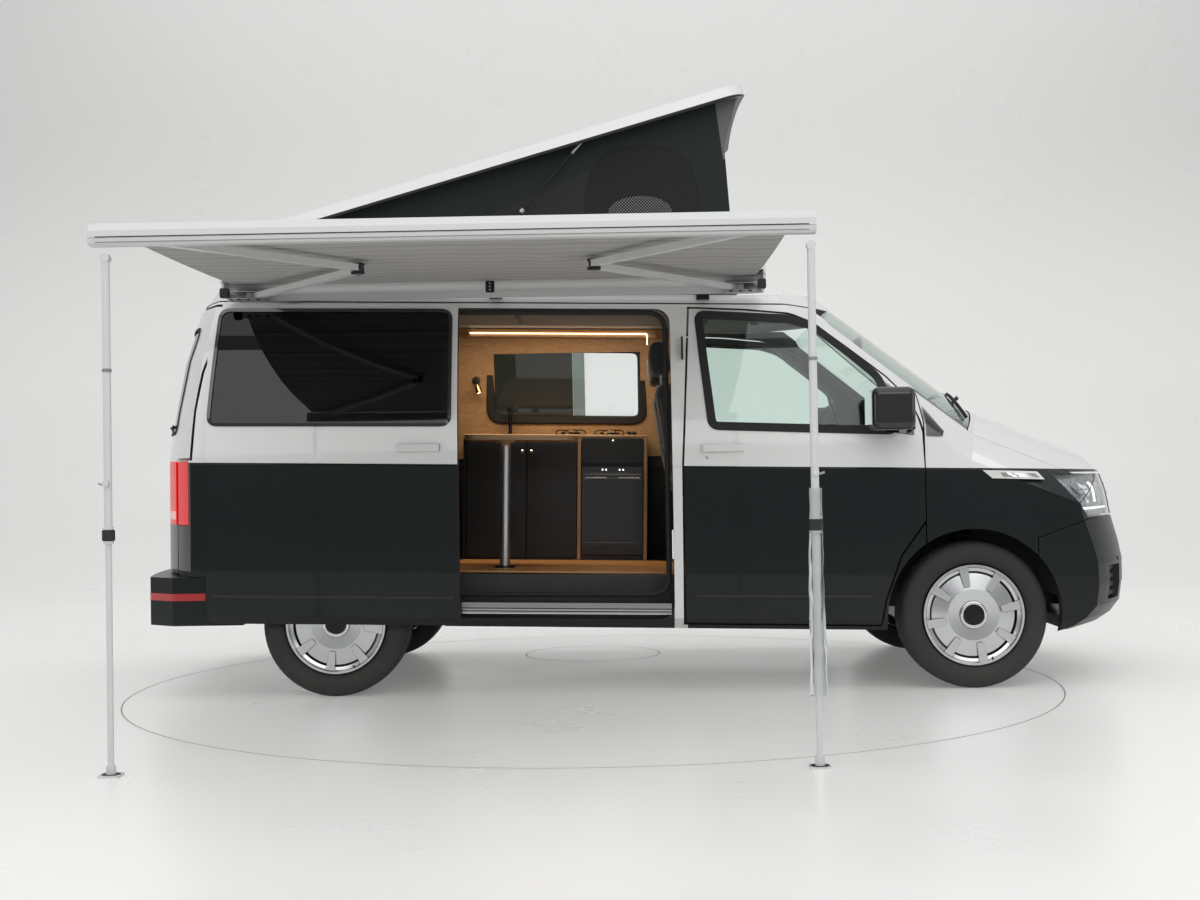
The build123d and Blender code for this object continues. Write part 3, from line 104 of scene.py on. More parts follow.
def mesh_of(name, shape):
    """A mesh from a points-and-faces pair."""
    points, faces = shape
    mesh = bpy.data.meshes.new(name)
    mesh.from_pydata([tuple(p) for p in np.asarray(points, float)], [], [tuple(int(i) for i in f) for f in faces])
    return mesh


def in_scene(name, data):
    """An object at the origin that shows a mesh, a lamp or a camera."""
    obj = bpy.data.objects.new(name, data)
    bpy.context.scene.collection.objects.link(obj)
    return obj


def smooth_all(mesh):
    mesh.polygons.foreach_set("use_smooth", [True] * len(mesh.polygons))


def piece(name, shape, material, body, uv=None, node=None):
    """A finished mesh in the frame, with its material, that moves with a body and may stand for a node."""
    mesh = mesh_of(name, shape)
    if uv is not None:
        corners = np.empty(len(mesh.loops), dtype=np.int32)
        mesh.loops.foreach_get("vertex_index", corners)
        layer = mesh.uv_layers.new(name="uv")
        layer.data.foreach_set("uv", np.asarray(uv, np.float32)[corners].ravel())
    work = bmesh.new()
    work.from_mesh(mesh)
    if uv is None:  # poles and seams are closed; cloth keeps its seam, because its own coordinates jump there
        bmesh.ops.remove_doubles(work, verts=work.verts, dist=1e-6)
    bmesh.ops.recalc_face_normals(work, faces=work.faces)
    work.to_mesh(mesh)
    work.free()
    smooth_all(mesh)
    mesh.set_sharp_from_angle(angle=SHARP)
    mesh.materials.append(material)
    mesh.update()
    obj = in_scene(name, mesh)
    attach(obj, body)
    if node:
        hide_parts(node)
    return obj


def unit(v):
    """Vectors of length one."""
    v = np.asarray(v, float)
    return v / np.maximum(np.linalg.norm(v, axis=-1, keepdims=True), 1e-12)


def chaikin(points, rounds=2, closed=False):
    """Corner cutting: each round puts two points a quarter and three quarters along every side."""
    p = np.asarray(points, float)
    for _ in range(rounds):
        a, b = (p, np.roll(p, -1, 0)) if closed else (p[:-1], p[1:])
        cut = np.stack([0.75 * a + 0.25 * b, 0.25 * a + 0.75 * b], 1).reshape(-1, p.shape[1])
        p = cut if closed else np.concatenate([p[:1], cut, p[-1:]])
    return p


def resample(points, step, closed=False):
    """The same path with points about one step apart."""
    p = np.asarray(points, float)
    if closed:
        p = np.concatenate([p, p[:1]])
    along = np.concatenate([[0], np.cumsum(np.linalg.norm(np.diff(p, axis=0), axis=1))])
    count = max(3, int(along[-1] / step) + 1)
    t = np.linspace(0, along[-1], count + (1 if closed else 0))
    out = np.stack([np.interp(t, along, p[:, k]) for k in range(p.shape[1])], 1)
    return out[:-1] if closed else out


def swept(path, profile, closed=False, up=(0, 0, 1)):
    """A closed profile carried along a path: across and up from the path, each point at p + across * a + up * b."""
    p = np.asarray(path, float)
    ahead = unit(np.roll(p, -1, 0) - np.roll(p, 1, 0))
    if not closed:
        ahead[0], ahead[-1] = unit(p[1] - p[0]), unit(p[-1] - p[-2])
    up = np.broadcast_to(np.asarray(up, float), p.shape)
    across = unit(np.cross(ahead, up))
    lift = unit(np.cross(across, ahead))
    prof = np.asarray(profile, float)
    points = p[:, None] + across[:, None] * prof[None, :, :1] + lift[:, None] * prof[None, :, 1:]
    n, m = len(p), len(prof)
    faces = [list(f) for f in grid_quads(n, m, close_rows=closed, close_columns=True)]
    if not closed:
        faces += [list(range(m))[::-1], list(range((n - 1) * m, n * m))]
    return points.reshape(-1, 3), faces


def ring_profile(radius, sides=10):
    """Points at equal angles on a circle."""
    a = np.linspace(0, 2 * pi, sides, endpoint=False)
    return np.stack([radius * np.cos(a), radius * np.sin(a)], 1)


def flat_profile(width, thick):
    """Corners of a flat bar."""
    w, t = width / 2, thick / 2
    return [(-w, -t), (w, -t), (w, t), (-w, t)]


def tube(path, radius, sides=10, closed=False, up=(0.123, 0.31, 0.94)):
    """Round bar along a path."""
    return swept(path, ring_profile(radius, sides), closed, up)


def turned(profile, centre, axis, count=48):
    """A profile of (radius, along) points turned round an axis; a closed profile gives a ring, an open one a cup."""
    axis = unit(axis)
    side = unit(np.cross(axis, (0.3, 0.2, 0.93) if abs(axis[2]) < 0.9 else (1, 0, 0)))
    third = np.cross(axis, side)
    a = np.linspace(0, 2 * pi, count, endpoint=False)
    prof = np.asarray(profile, float)
    spoke = np.cos(a)[:, None] * side + np.sin(a)[:, None] * third
    points = np.asarray(centre) + spoke[:, None] * prof[None, :, :1] + axis * prof[None, :, 1:]
    return points.reshape(-1, 3), grid_quads(count, len(prof), close_rows=True)


def rounded_box(low, high, radius, cuts=6):
    """A box whose edges are rounded: points of a cube's grid, drawn in to an inner box and pushed out by the radius."""
    low, high = np.asarray(low, float), np.asarray(high, float)
    t = np.linspace(-1, 1, cuts + 1)
    t = np.sign(t) * np.abs(t) ** 0.7
    u, v = np.meshgrid(t, t, indexing="ij")
    shapes = []
    for axis in range(3):
        for sign in (-1, 1):
            p = np.empty(u.shape + (3,))
            p[..., axis] = sign
            p[..., (axis + 1) % 3], p[..., (axis + 2) % 3] = (u, v) if sign > 0 else (v, u)
            half, middle = (high - low) / 2, (high + low) / 2
            q = p * half
            core = np.clip(q, -(half - radius), half - radius)
            q = core + radius * unit(q - core)
            shapes.append(((q + middle).reshape(-1, 3), grid_quads(cuts + 1, cuts + 1)))
    return join(*shapes)


def turn_about(points, centre, axis, angle):
    """Points turned about an axis through a centre (Rodrigues' formula)."""
    k, p = unit(axis), np.asarray(points, float) - centre
    turned_points = p * cos(angle) + np.cross(k, p) * sin(angle) + np.outer(p @ k, k) * (1 - cos(angle))
    return turned_points + centre


# %% [markdown]
# ## Finding the van's surface
# Trim follows panels that curve both ways, so its points are shot at the frame's own meshes. Each point takes the
# outermost of five hits close together, which keeps a strip from falling into a panel gap that it crosses.


# %% rays at the skin
LEAST_OUT = 0.6  # a hit nearer the van's middle than this has gone through an opening


class Skin:
    """The outer face of some nodes, found by shooting rays at them."""

    def __init__(self, *names, flank_start=3.0):
        """The rays at a flank start at the given |y|."""
        self.flank_start = flank_start
        points, faces, start = [], [], 0
        for name in names:
            mesh = nodes[name].data
            points += [v.co.copy() for v in mesh.vertices]
            faces += [[i + start for i in p.vertices] for p in mesh.polygons]
            start = len(points)
        self.tree = BVHTree.FromPolygons(points, faces)
        self.last = None

    def hit(self, start, direction, fallback):
        """The first place that one ray meets, or else the fallback."""
        place = self.tree.ray_cast(Vector(start), Vector(direction))[0]
        return np.array(place if place else fallback, float)

    def outermost(self, start, direction, spread, along, sign, fallback):
        """The outermost of five hits, at a point and a little to each side of it, so a narrow gap is bridged."""
        best = None
        for shift in (np.zeros(3), spread[0], -spread[0], spread[1], -spread[1]):
            place = self.tree.ray_cast(Vector(start + shift), Vector(direction))[0]
            if place and place[along] * sign > LEAST_OUT:
                best = max(best or 0.0, place[along] * sign)
        self.last = best or self.last or fallback
        return self.last

    def side(self, x, z, side, out=0.0, spread=0.012):
        """Point on the flank at x and z, seen from the left (1) or the right (-1), moved out a little."""
        steps = np.array([(spread, 0, 0), (0, 0, spread)])
        y = self.outermost(np.array([x, side * self.flank_start, z]), (0, -side, 0), steps, 1, side, 0.94)
        return np.array([x, side * (y + out), z])

    def front(self, y, z, out=0.0, end=1, spread=0.005):
        """Point on the nose (end 1) or the tail (end -1) at y and z, moved out a little."""
        steps = np.array([(0, spread, 0), (0, 0, spread)])
        x = self.outermost(np.array([end * 4.0, y, z]), (-end, 0, 0), steps, 0, end, 2.3)
        return np.array([end * (x + out), y, z])


# %% [markdown]
# ## Shader effects shared by many finishes
# Each effect is a node group that gives only a mask, a value, a colour or a normal, so any finish can use it. Paint
# wears at its edges and gathers dust low down, cloth is two crossed waves, and wood is noise drawn out along its grain.


# %% node groups
def new_group(name, inputs, outputs):
    """An empty node group with named sockets: (name, kind, default) in, (name, kind) out."""
    tree = bpy.data.node_groups.new(name, "ShaderNodeTree")
    for label, kind, value in inputs:
        socket = tree.interface.new_socket(label, in_out="INPUT", socket_type="NodeSocket" + kind)
        if value is not None:
            socket.default_value = value
    for label, kind in outputs:
        tree.interface.new_socket(label, in_out="OUTPUT", socket_type="NodeSocket" + kind)
    return tree, tree.nodes.new("NodeGroupInput"), tree.nodes.new("NodeGroupOutput")


def put(tree, kind, inputs=(), **settings):
    """One shader node with its settings and inputs; an input is a value or the socket that feeds it."""
    node = tree.nodes.new("ShaderNode" + kind)
    for key, value in settings.items():
        setattr(node, key, value)
    for key, value in dict(inputs).items():
        if isinstance(value, bpy.types.NodeSocket):
            tree.links.new(value, node.inputs[key])
        else:
            node.inputs[key].default_value = value
    return node


def maths(tree, operation, *values):
    """One sum on values or sockets."""
    return put(tree, "Math", dict(enumerate(values)), operation=operation).outputs[0]


def all_of(tree, first, *others):
    """Masks multiplied together, so that all of them have to hold."""
    for other in others:
        first = maths(tree, "MULTIPLY", first, other)
    return first


def one_less(tree, value):
    """The opposite of a mask."""
    return maths(tree, "SUBTRACT", 1.0, value)


def band(tree, value, low, high):
    """0 below low, 1 above high, smooth between."""
    return put(
        tree, "MapRange", {"Value": value, "From Min": low, "From Max": high}, interpolation_type="SMOOTHSTEP"
    ).outputs["Result"]


def place_on(tree):
    """The place of a shaded point in the van's frame: the vector, x, y and z."""
    coords = put(tree, "TexCoord").outputs["Object"]
    split = put(tree, "SeparateXYZ", {0: coords}).outputs
    return coords, split["X"], split["Y"], split["Z"]


def bumped(tree, strength, distance, height):
    """The normal of a surface raised by a height."""
    return put(tree, "Bump", {"Strength": strength, "Distance": distance, "Height": height}).outputs["Normal"]


def object_normal(tree):
    """The face's own normal in the van's frame."""
    true_normal = put(tree, "NewGeometry").outputs["True Normal"]
    return put(tree, "VectorTransform", {0: true_normal}, vector_type="NORMAL", convert_from="WORLD",
               convert_to="OBJECT").outputs[0]


def give(tree, group_output, **results):
    """The results of a group, linked to its outputs."""
    for key, socket in results.items():
        tree.links.new(socket, group_output.inputs[key])
    return tree


def group_peel():
    """Unevenness of a coat or a moulding: low noise as a normal."""
    tree, gin, gout = new_group(
        "fine_surface", [("Vector", "Vector", None), ("Scale", "Float", 40.0), ("Depth", "Float", 0.02)],
        [("Normal", "Vector"), ("Value", "Float")],
    )
    noise = put(tree, "TexNoise", {"Vector": gin.outputs["Vector"], "Scale": gin.outputs["Scale"], "Detail": 3.0})
    normal = bumped(tree, gin.outputs["Depth"], 0.01, noise.outputs["Fac"])
    return give(tree, gout, Normal=normal, Value=noise.outputs["Fac"])


def group_wear():
    """Worn edges: where a rounded normal parts from the true one, broken up by noise."""
    tree, gin, gout = new_group("edge_wear", [("Width", "Float", 0.004), ("Amount", "Float", 0.5)], [("Mask", "Float")])
    bevel = put(tree, "Bevel", {"Radius": gin.outputs["Width"]}, samples=4)
    geometry = put(tree, "NewGeometry")
    flat = put(tree, "VectorMath", {0: bevel.outputs["Normal"], 1: geometry.outputs["Normal"]}, operation="DOT_PRODUCT")
    coords = put(tree, "TexCoord")
    noise = put(tree, "TexNoise", {"Vector": coords.outputs["Object"], "Scale": 18.0, "Detail": 6.0})
    edge = band(tree, one_less(tree, flat.outputs["Value"]), 0.02, 0.25)
    return give(tree, gout, Mask=all_of(tree, edge, noise.outputs["Fac"], gin.outputs["Amount"]))


def group_dust():
    """Road dust: thick near the ground, gone at the top height, patchy."""
    tree, gin, gout = new_group("road_dust", [("Top", "Float", 0.75), ("Amount", "Float", 0.35)], [("Mask", "Float")])
    coords, _, _, height = place_on(tree)
    fall = {"Value": height, "From Min": 0.05, "From Max": gin.outputs["Top"], "To Min": 1.0, "To Max": 0.0}
    low = put(tree, "MapRange", fall).outputs["Result"]
    noise = put(tree, "TexNoise", {"Vector": coords, "Scale": 5.0, "Detail": 8.0, "Roughness": 0.7})
    thick = maths(tree, "POWER", low, 1.6)
    return give(tree, gout, Mask=all_of(tree, thick, noise.outputs["Fac"], gin.outputs["Amount"]))


def group_weave():
    """Threads both ways: the product of two sine waves on the cloth's own coordinates."""
    tree, gin, gout = new_group(
        "weave", [("Vector", "Vector", None), ("Threads", "Float", 700.0), ("Depth", "Float", 0.3)],
        [("Mask", "Float"), ("Normal", "Vector")],
    )
    split = put(tree, "SeparateXYZ", {0: gin.outputs["Vector"]})
    warp = maths(tree, "SINE", maths(tree, "MULTIPLY", split.outputs["X"], gin.outputs["Threads"]))
    weft = maths(tree, "SINE", maths(tree, "MULTIPLY", split.outputs["Y"], gin.outputs["Threads"]))
    cross = maths(tree, "MULTIPLY_ADD", maths(tree, "MULTIPLY", warp, weft), 0.5, 0.5)
    noise = put(tree, "TexNoise", {"Vector": gin.outputs["Vector"], "Scale": 90.0, "Detail": 4.0})
    mask = maths(tree, "MULTIPLY", cross, maths(tree, "ADD", noise.outputs["Fac"], 0.5))
    return give(tree, gout, Mask=mask, Normal=bumped(tree, gin.outputs["Depth"], 0.002, mask))


def group_wood():
    """Growth rings as steps of a stretched noise, with fine pores drawn out along x."""
    tree, gin, gout = new_group(
        "wood_grain",
        [("Vector", "Vector", None), ("Light", "Color", (0.66, 0.45, 0.26, 1)), ("Dark", "Color", (0.36, 0.2, 0.1, 1))],
        [("Color", "Color"), ("Value", "Float"), ("Normal", "Vector")],
    )
    long = put(tree, "Mapping", {"Vector": gin.outputs["Vector"], "Scale": (1.6, 14.0, 14.0)})
    broad = put(tree, "TexNoise", {"Vector": long.outputs["Vector"], "Scale": 2.2, "Detail": 5.0, "Distortion": 1.2})
    rings = maths(tree, "FRACT", maths(tree, "MULTIPLY", broad.outputs["Fac"], 9.0))
    pores = put(tree, "Mapping", {"Vector": gin.outputs["Vector"], "Scale": (9.0, 260.0, 260.0)})
    fine = put(tree, "TexNoise", {"Vector": pores.outputs["Vector"], "Scale": 1.0, "Detail": 3.0})
    value = maths(tree, "MULTIPLY_ADD", rings, 0.55, maths(tree, "MULTIPLY", fine.outputs["Fac"], 0.45))
    colour = put(tree, "Mix", {0: value, 6: gin.outputs["Dark"], 7: gin.outputs["Light"]}, data_type="RGBA")
    normal = bumped(tree, 0.12, 0.002, fine.outputs["Fac"])
    return give(tree, gout, Color=colour.outputs[2], Value=value, Normal=normal)


def group_outward():
    """1 on faces that look away from the van's middle, told from the normal and the way out of a rounded body."""
    tree, _, gout = new_group("faces_outward", [], [("Mask", "Float")])
    coords = put(tree, "TexCoord")
    from_middle = put(tree, "VectorMath", {0: coords.outputs["Object"], 1: (0.0, 0.0, 1.1)}, operation="SUBTRACT")
    rounded = put(tree, "VectorMath", {0: from_middle.outputs[0], 1: (0.17, 1.1, 1.3)}, operation="MULTIPLY")
    facing = put(tree, "VectorMath", {0: rounded.outputs[0], 1: object_normal(tree)}, operation="DOT_PRODUCT")
    return give(tree, gout, Mask=band(tree, facing.outputs["Value"], -0.12, -0.02))


def group_leather():
    """Fine cells of a grained moulding."""
    tree, gin, gout = new_group(
        "leather_grain", [("Vector", "Vector", None), ("Scale", "Float", 320.0), ("Depth", "Float", 0.25)],
        [("Value", "Float"), ("Normal", "Vector")],
    )
    cells = put(tree, "TexVoronoi", {"Vector": gin.outputs["Vector"], "Scale": gin.outputs["Scale"]})
    normal = bumped(tree, gin.outputs["Depth"], 0.001, cells.outputs["Distance"])
    return give(tree, gout, Value=cells.outputs["Distance"], Normal=normal)


GROUPS = {
    "peel": group_peel(), "wear": group_wear(), "dust": group_dust(), "weave": group_weave(), "wood": group_wood(),
    "outward": group_outward(), "leather": group_leather(),
}


def use(tree, name, inputs=()):
    """One of the groups in a finish, with its own values."""
    return put(tree, "Group", inputs, node_tree=GROUPS[name])


def mix_colour(tree, mask, first, second):
    """The first colour where the mask is 0, the second where it is 1."""
    return put(tree, "Mix", {0: mask, 6: first, 7: second}, data_type="RGBA").outputs[2]


def material(name, colour, rough, metal=0.0, **extra):
    """A Principled finish; returns the material, its node tree and the shader."""
    mat = bpy.data.materials.new(name)
    mat.use_nodes = True
    tree = mat.node_tree
    shader = tree.nodes["Principled BSDF"]
    shader.inputs["Base Color"].default_value = (*colour, 1)
    shader.inputs["Roughness"].default_value = rough
    shader.inputs["Metallic"].default_value = metal
    for key, value in extra.items():
        shader.inputs[key.replace("_", " ")].default_value = value
    return mat, tree, shader


def feed(tree, shader, **sockets):
    """Sockets linked to the shader's inputs."""
    for key, socket in sockets.items():
        tree.links.new(socket, shader.inputs[key.replace("_", " ")])


DUST = (0.30, 0.27, 0.23, 1)
WHITE, GREEN, LINING = (0.83, 0.835, 0.82, 1), (0.0060, 0.0095, 0.0095, 1), (0.045, 0.045, 0.047, 1)
OAK, OAK_DARK = (0.62, 0.40, 0.21), (0.34, 0.18, 0.085)
PRIVACY, RIM_METAL, LENS_RED, COATED = (
    (0.018, 0.021, 0.023), (0.62, 0.63, 0.64), (0.62, 0.010, 0.014), (0.72, 0.73, 0.72))


# %% [markdown]
# ## Finishes
# The two paints meet along a line that leans with the body, so their mask is height plus a share of x. Clear coat over
# both gives the deep shine. Inner faces of the panels are lining, picked out by the way they face.


# %% paint
def paint(name, two_tone=True, pillar=False, mirrors=False, inside=LINING):
    """Gloss paint: white above the waist line and dark green below, lining on faces turned inwards."""
    mat, tree, shader = material(name, WHITE[:3], 0.32, Coat_Weight=1.0, Coat_Roughness=0.03, Specular_IOR_Level=0.2)
    coords, x, y, z = place_on(tree)
    level = maths(tree, "MULTIPLY_ADD", x, tan(RAKE), z)
    white = band(tree, level, WAIST - 0.0007, WAIST + 0.0007) if two_tone else maths(tree, "ADD", 1.0, 0.0)
    if pillar:  # the post between the side door and the front door stays white to the sill
        behind = one_less(tree, band(tree, x, 0.16, 0.161))
        post = all_of(tree, band(tree, x, 0.098, 0.099), behind, maths(tree, "LESS_THAN", y, 0.0))
        white = maths(tree, "MAXIMUM", white, post)
    colour = mix_colour(tree, white, GREEN, WHITE)
    dust = use(tree, "dust", {"Top": 0.8, "Amount": 0.07})
    wear = use(tree, "wear", {"Width": 0.0025, "Amount": 0.10})
    colour = mix_colour(tree, dust.outputs["Mask"], colour, DUST)
    colour = mix_colour(tree, wear.outputs["Mask"], colour, (0.25, 0.25, 0.24, 1))
    if mirrors:  # the door mirrors are gloss black
        beyond = maths(tree, "GREATER_THAN", maths(tree, "ABSOLUTE", y), 0.945)
        head = all_of(tree, beyond, maths(tree, "GREATER_THAN", x, 0.90), maths(tree, "GREATER_THAN", z, 1.195))
        colour = mix_colour(tree, head, colour, (0.010, 0.010, 0.011, 1))
    outward = use(tree, "outward").outputs["Mask"]
    colour = mix_colour(tree, outward, inside, colour)
    coat = maths(tree, "MULTIPLY", outward, maths(tree, "MULTIPLY_ADD", white, 0.8, 0.2))
    rough = maths(tree, "ADD", maths(tree, "MULTIPLY", dust.outputs["Mask"], 0.5), 0.28)
    rough = maths(tree, "ADD", rough, maths(tree, "MULTIPLY", one_less(tree, outward), 0.4))
    peel = use(tree, "peel", {"Vector": coords, "Scale": 55.0, "Depth": 0.004})
    feed(tree, shader, Base_Color=colour, Roughness=rough, Coat_Weight=coat, Normal=peel.outputs["Normal"])
    return mat


def plain(name, colour, rough, metal=0.0, grain=None, wear=0.0, dust=0.0, **extra):
    """A finish of one colour with fine unevenness, and with edge wear or road dust where wanted."""
    mat, tree, shader = material(name, colour, rough, metal, **extra)
    coords = put(tree, "TexCoord").outputs["Object"]
    scale, depth = grain or (120.0, 0.01)
    fine = use(tree, "leather" if grain else "peel", {"Vector": coords, "Scale": scale, "Depth": depth}).outputs
    darker = (*[c * 0.82 for c in colour], 1)
    tint = mix_colour(tree, maths(tree, "MULTIPLY", fine["Value"], 0.5), (*colour, 1), darker)
    roughness = maths(tree, "MULTIPLY_ADD", fine["Value"], 0.12, rough - 0.05)
    if wear:
        mask = use(tree, "wear", {"Width": 0.003, "Amount": wear}).outputs["Mask"]
        tint = mix_colour(tree, mask, tint, (0.42, 0.42, 0.41, 1))
    if dust:
        mask = use(tree, "dust", {"Top": 0.9, "Amount": dust}).outputs["Mask"]
        tint = mix_colour(tree, mask, tint, DUST)
        roughness = maths(tree, "ADD", roughness, maths(tree, "MULTIPLY", mask, 0.4))
    feed(tree, shader, Base_Color=tint, Roughness=roughness, Normal=fine["Normal"])
    return mat


def pane(name, tint, rough=0.0, shade=0.75, cab_tint=None):
    """Glass that refracts for the eye and lets lights' shadow rays through; ahead on the left it may be clearer."""
    mat, tree, shader = material(name, tint, rough, Transmission_Weight=1.0, IOR=1.45)
    coords, x, y, _ = place_on(tree)
    film = use(tree, "peel", {"Vector": coords, "Scale": 3.0, "Depth": 0.0})
    feed(tree, shader, Roughness=maths(tree, "MULTIPLY", film.outputs["Value"], 0.02 + rough))
    clear = put(tree, "BsdfTransparent", {"Color": (*[c * shade for c in tint], 1)})
    if cab_tint:
        ahead = all_of(tree, maths(tree, "GREATER_THAN", x, -0.95), maths(tree, "GREATER_THAN", y, 0.0))
        colour = mix_colour(tree, ahead, (*tint, 1), (*cab_tint, 1))
        feed(tree, shader, Base_Color=colour)
        tree.links.new(colour, clear.inputs["Color"])
    path = put(tree, "LightPath")
    both = put(tree, "MixShader", {0: path.outputs["Is Shadow Ray"], 1: shader.outputs[0], 2: clear.outputs[0]})
    tree.links.new(both.outputs[0], tree.nodes["Material Output"].inputs["Surface"])
    return mat


def wood(name, light, dark, turn=(0, 0, 0), rough=0.38, metal_post=None):
    """Wood with its grain along the piece; below a height, a post within 5 cm of an x is metal."""
    mat, tree, shader = material(name, light, rough)
    coords, x, _, z = place_on(tree)
    placed = put(tree, "Mapping", {"Vector": coords, "Rotation": turn})
    grain = use(tree, "wood", {"Vector": placed.outputs["Vector"], "Light": (*light, 1), "Dark": (*dark, 1)})
    wear = use(tree, "wear", {"Width": 0.002, "Amount": 0.3})
    colour = mix_colour(tree, wear.outputs["Mask"], grain.outputs["Color"], (0.75, 0.58, 0.38, 1))
    rough_map = maths(tree, "MULTIPLY_ADD", grain.outputs["Value"], 0.2, rough - 0.08)
    if metal_post:
        away = maths(tree, "ABSOLUTE", maths(tree, "SUBTRACT", x, metal_post[0]))
        post = all_of(tree, maths(tree, "LESS_THAN", away, 0.05), maths(tree, "LESS_THAN", z, metal_post[1]))
        colour = mix_colour(tree, post, colour, (0.60, 0.61, 0.62, 1))
        feed(tree, shader, Metallic=post)
    feed(tree, shader, Base_Color=colour, Roughness=rough_map, Normal=grain.outputs["Normal"])
    return mat


def cloth(name, colour, second=None, threads=2600.0, depth=0.35, rough=0.9, stripes=None):
    """Woven cloth on the piece's own coordinates, in metres; stripes are (period, share, colour) bands across it."""
    mat, tree, shader = material(name, colour, rough, Sheen_Weight=0.25, Sheen_Roughness=0.5)
    uv = put(tree, "UVMap").outputs["UV"]
    weave = use(tree, "weave", {"Vector": uv, "Threads": threads, "Depth": depth})
    second = second or tuple(c * 0.6 for c in colour)
    tint = mix_colour(tree, weave.outputs["Mask"], (*second, 1), (*colour, 1))
    if stripes:
        across = put(tree, "SeparateXYZ", {0: uv}).outputs["Y"]
        for period, share, shade in stripes:
            place = maths(tree, "FRACT", maths(tree, "DIVIDE", across, period))
            tint = mix_colour(tree, maths(tree, "LESS_THAN", place, share), tint, (*shade, 1))
    cloudy = put(tree, "TexNoise", {"Vector": uv, "Scale": 2.5, "Detail": 5.0})
    tint = mix_colour(tree, maths(tree, "MULTIPLY", cloudy.outputs["Fac"], 0.25), tint, (*[c * 0.7 for c in colour], 1))
    feed(tree, shader, Base_Color=tint, Normal=weave.outputs["Normal"])
    return mat, tree, shader, uv, tint


def glow(name, colour, strength):
    """A small lamp's face, which lights itself."""
    mat, tree, shader = material(name, colour, 0.4)
    shader.inputs["Emission Color"].default_value = (*colour, 1)
    shader.inputs["Emission Strength"].default_value = strength
    return mat


M = {
    "paint_sides": paint("paint_sides", pillar=True),
    "paint": paint("paint_two_tone"),
    "paint_doors": paint("paint_doors", mirrors=True),
    "paint_dark": plain("paint_dark_plastic", GREEN[:3], 0.36, dust=0.06, Coat_Weight=0.15, Coat_Roughness=0.08,
                        Specular_IOR_Level=0.2),
    "paint_white": paint("paint_white", two_tone=False, inside=(0.5, 0.5, 0.49, 1)),
    "black_gloss": plain("black_gloss", (0.008, 0.008, 0.009), 0.12, Coat_Weight=1.0),
    "black": plain("black_grained", (0.016, 0.016, 0.017), 0.55, grain=(420.0, 0.2)),
    "rubber": plain("rubber_seal", (0.012, 0.012, 0.012), 0.7, grain=(900.0, 0.15)),
    "dash": plain("dash_plastic", (0.022, 0.022, 0.023), 0.6, grain=(360.0, 0.4)),
    "under": plain("underbody_black", (0.014, 0.014, 0.015), 0.6, wear=0.3, dust=0.5),
    "cast": plain("cast_block", (0.12, 0.12, 0.125), 0.6, 0.7, grain=(160.0, 0.5), dust=0.4),
    "steel": plain("brushed_steel", (0.42, 0.42, 0.43), 0.32, 1.0, wear=0.2),
    "dark_steel": plain("dark_steel", (0.03, 0.03, 0.032), 0.38, 0.8),
    "chrome": plain("chrome", (0.75, 0.76, 0.77), 0.07, 1.0),
    "exhaust": plain("exhaust_steel", (0.25, 0.22, 0.2), 0.45, 1.0, dust=0.5),
    "brass": plain("brass", (0.62, 0.42, 0.16), 0.24, 1.0),
    "mirror": plain("mirror_glass", (0.85, 0.87, 0.88), 0.01, 1.0),
    "coat_white": plain("coated_white", COATED, 0.36, wear=0.15),
    "coat_grey": plain("coated_grey", (0.30, 0.31, 0.32), 0.4, 0.4),
    "glass": pane("glass_clear", (0.80, 0.90, 0.86), shade=0.9),
    "glass_dark": pane("glass_privacy", PRIVACY, shade=0.4),
    "glass_sides": pane("glass_sides", PRIVACY, shade=0.4, cab_tint=(0.93, 0.96, 0.95)),
    "lens": pane("lens_clear", (0.93, 0.95, 0.96), shade=0.95),
    "sleeve": pane("sleeve_plastic", (0.86, 0.88, 0.9), rough=0.35, shade=0.9),
    "oak": wood("oak", OAK, OAK_DARK),
    "oak_upright": wood("oak_upright", OAK, OAK_DARK, turn=(0, pi / 2, 0)),
    "table": wood("oak_table", OAK, OAK_DARK, metal_post=(TABLE_POST_X, 1.18)),
    "floor": wood("floor_boards", (0.80, 0.40, 0.13), (0.50, 0.22, 0.065), rough=0.45),
    "cabinet": plain("cabinet_black", (0.010, 0.010, 0.0105), 0.4, grain=(700.0, 0.1), wear=0.1),
    "fridge": plain("fridge_front", (0.010, 0.010, 0.011), 0.2, Coat_Weight=0.5),
    "led": glow("led_warm", (1.0, 0.80, 0.52), 4.0),
    "step_light": glow("step_light", (1.0, 0.98, 0.94), 3.0),
    "plate": plain("blank_plate", (0.78, 0.78, 0.74), 0.35),
    "sash_glass": pane("sash_glass", (0.24, 0.28, 0.26), shade=0.7),
    "sash_dark": pane("sash_dark", (0.035, 0.034, 0.026), shade=0.7),
    "lamp_silver": plain("lamp_silver", (0.55, 0.56, 0.57), 0.25, 0.8),
    "lens_core": pane("lens_core", (0.95, 0.97, 1.0), shade=0.95),
    "day_light": glow("day_light", (0.95, 0.97, 1.0), 1.6),
    "belt": plain("belt_webbing", (0.02, 0.02, 0.021), 0.7, grain=(600.0, 0.3)),
}
M["seat"], *_ = cloth("seat_cloth", (0.055, 0.055, 0.058), (0.02, 0.02, 0.022))
M["trim_cloth"], *_ = cloth("bench_cloth", (0.10, 0.10, 0.105), (0.05, 0.05, 0.052))
M["mattress"], *_ = cloth("mattress_cloth", (0.36, 0.36, 0.35), (0.24, 0.24, 0.235))
M["awning"], *_ = cloth(
    "awning_cloth", (0.52, 0.51, 0.495), (0.44, 0.43, 0.42), threads=1800.0,
    stripes=[(0.124, 0.46, (0.42, 0.405, 0.39)), (0.062, 0.13, (0.30, 0.285, 0.27)),
             (0.248, 0.07, (0.26, 0.24, 0.225))],
)


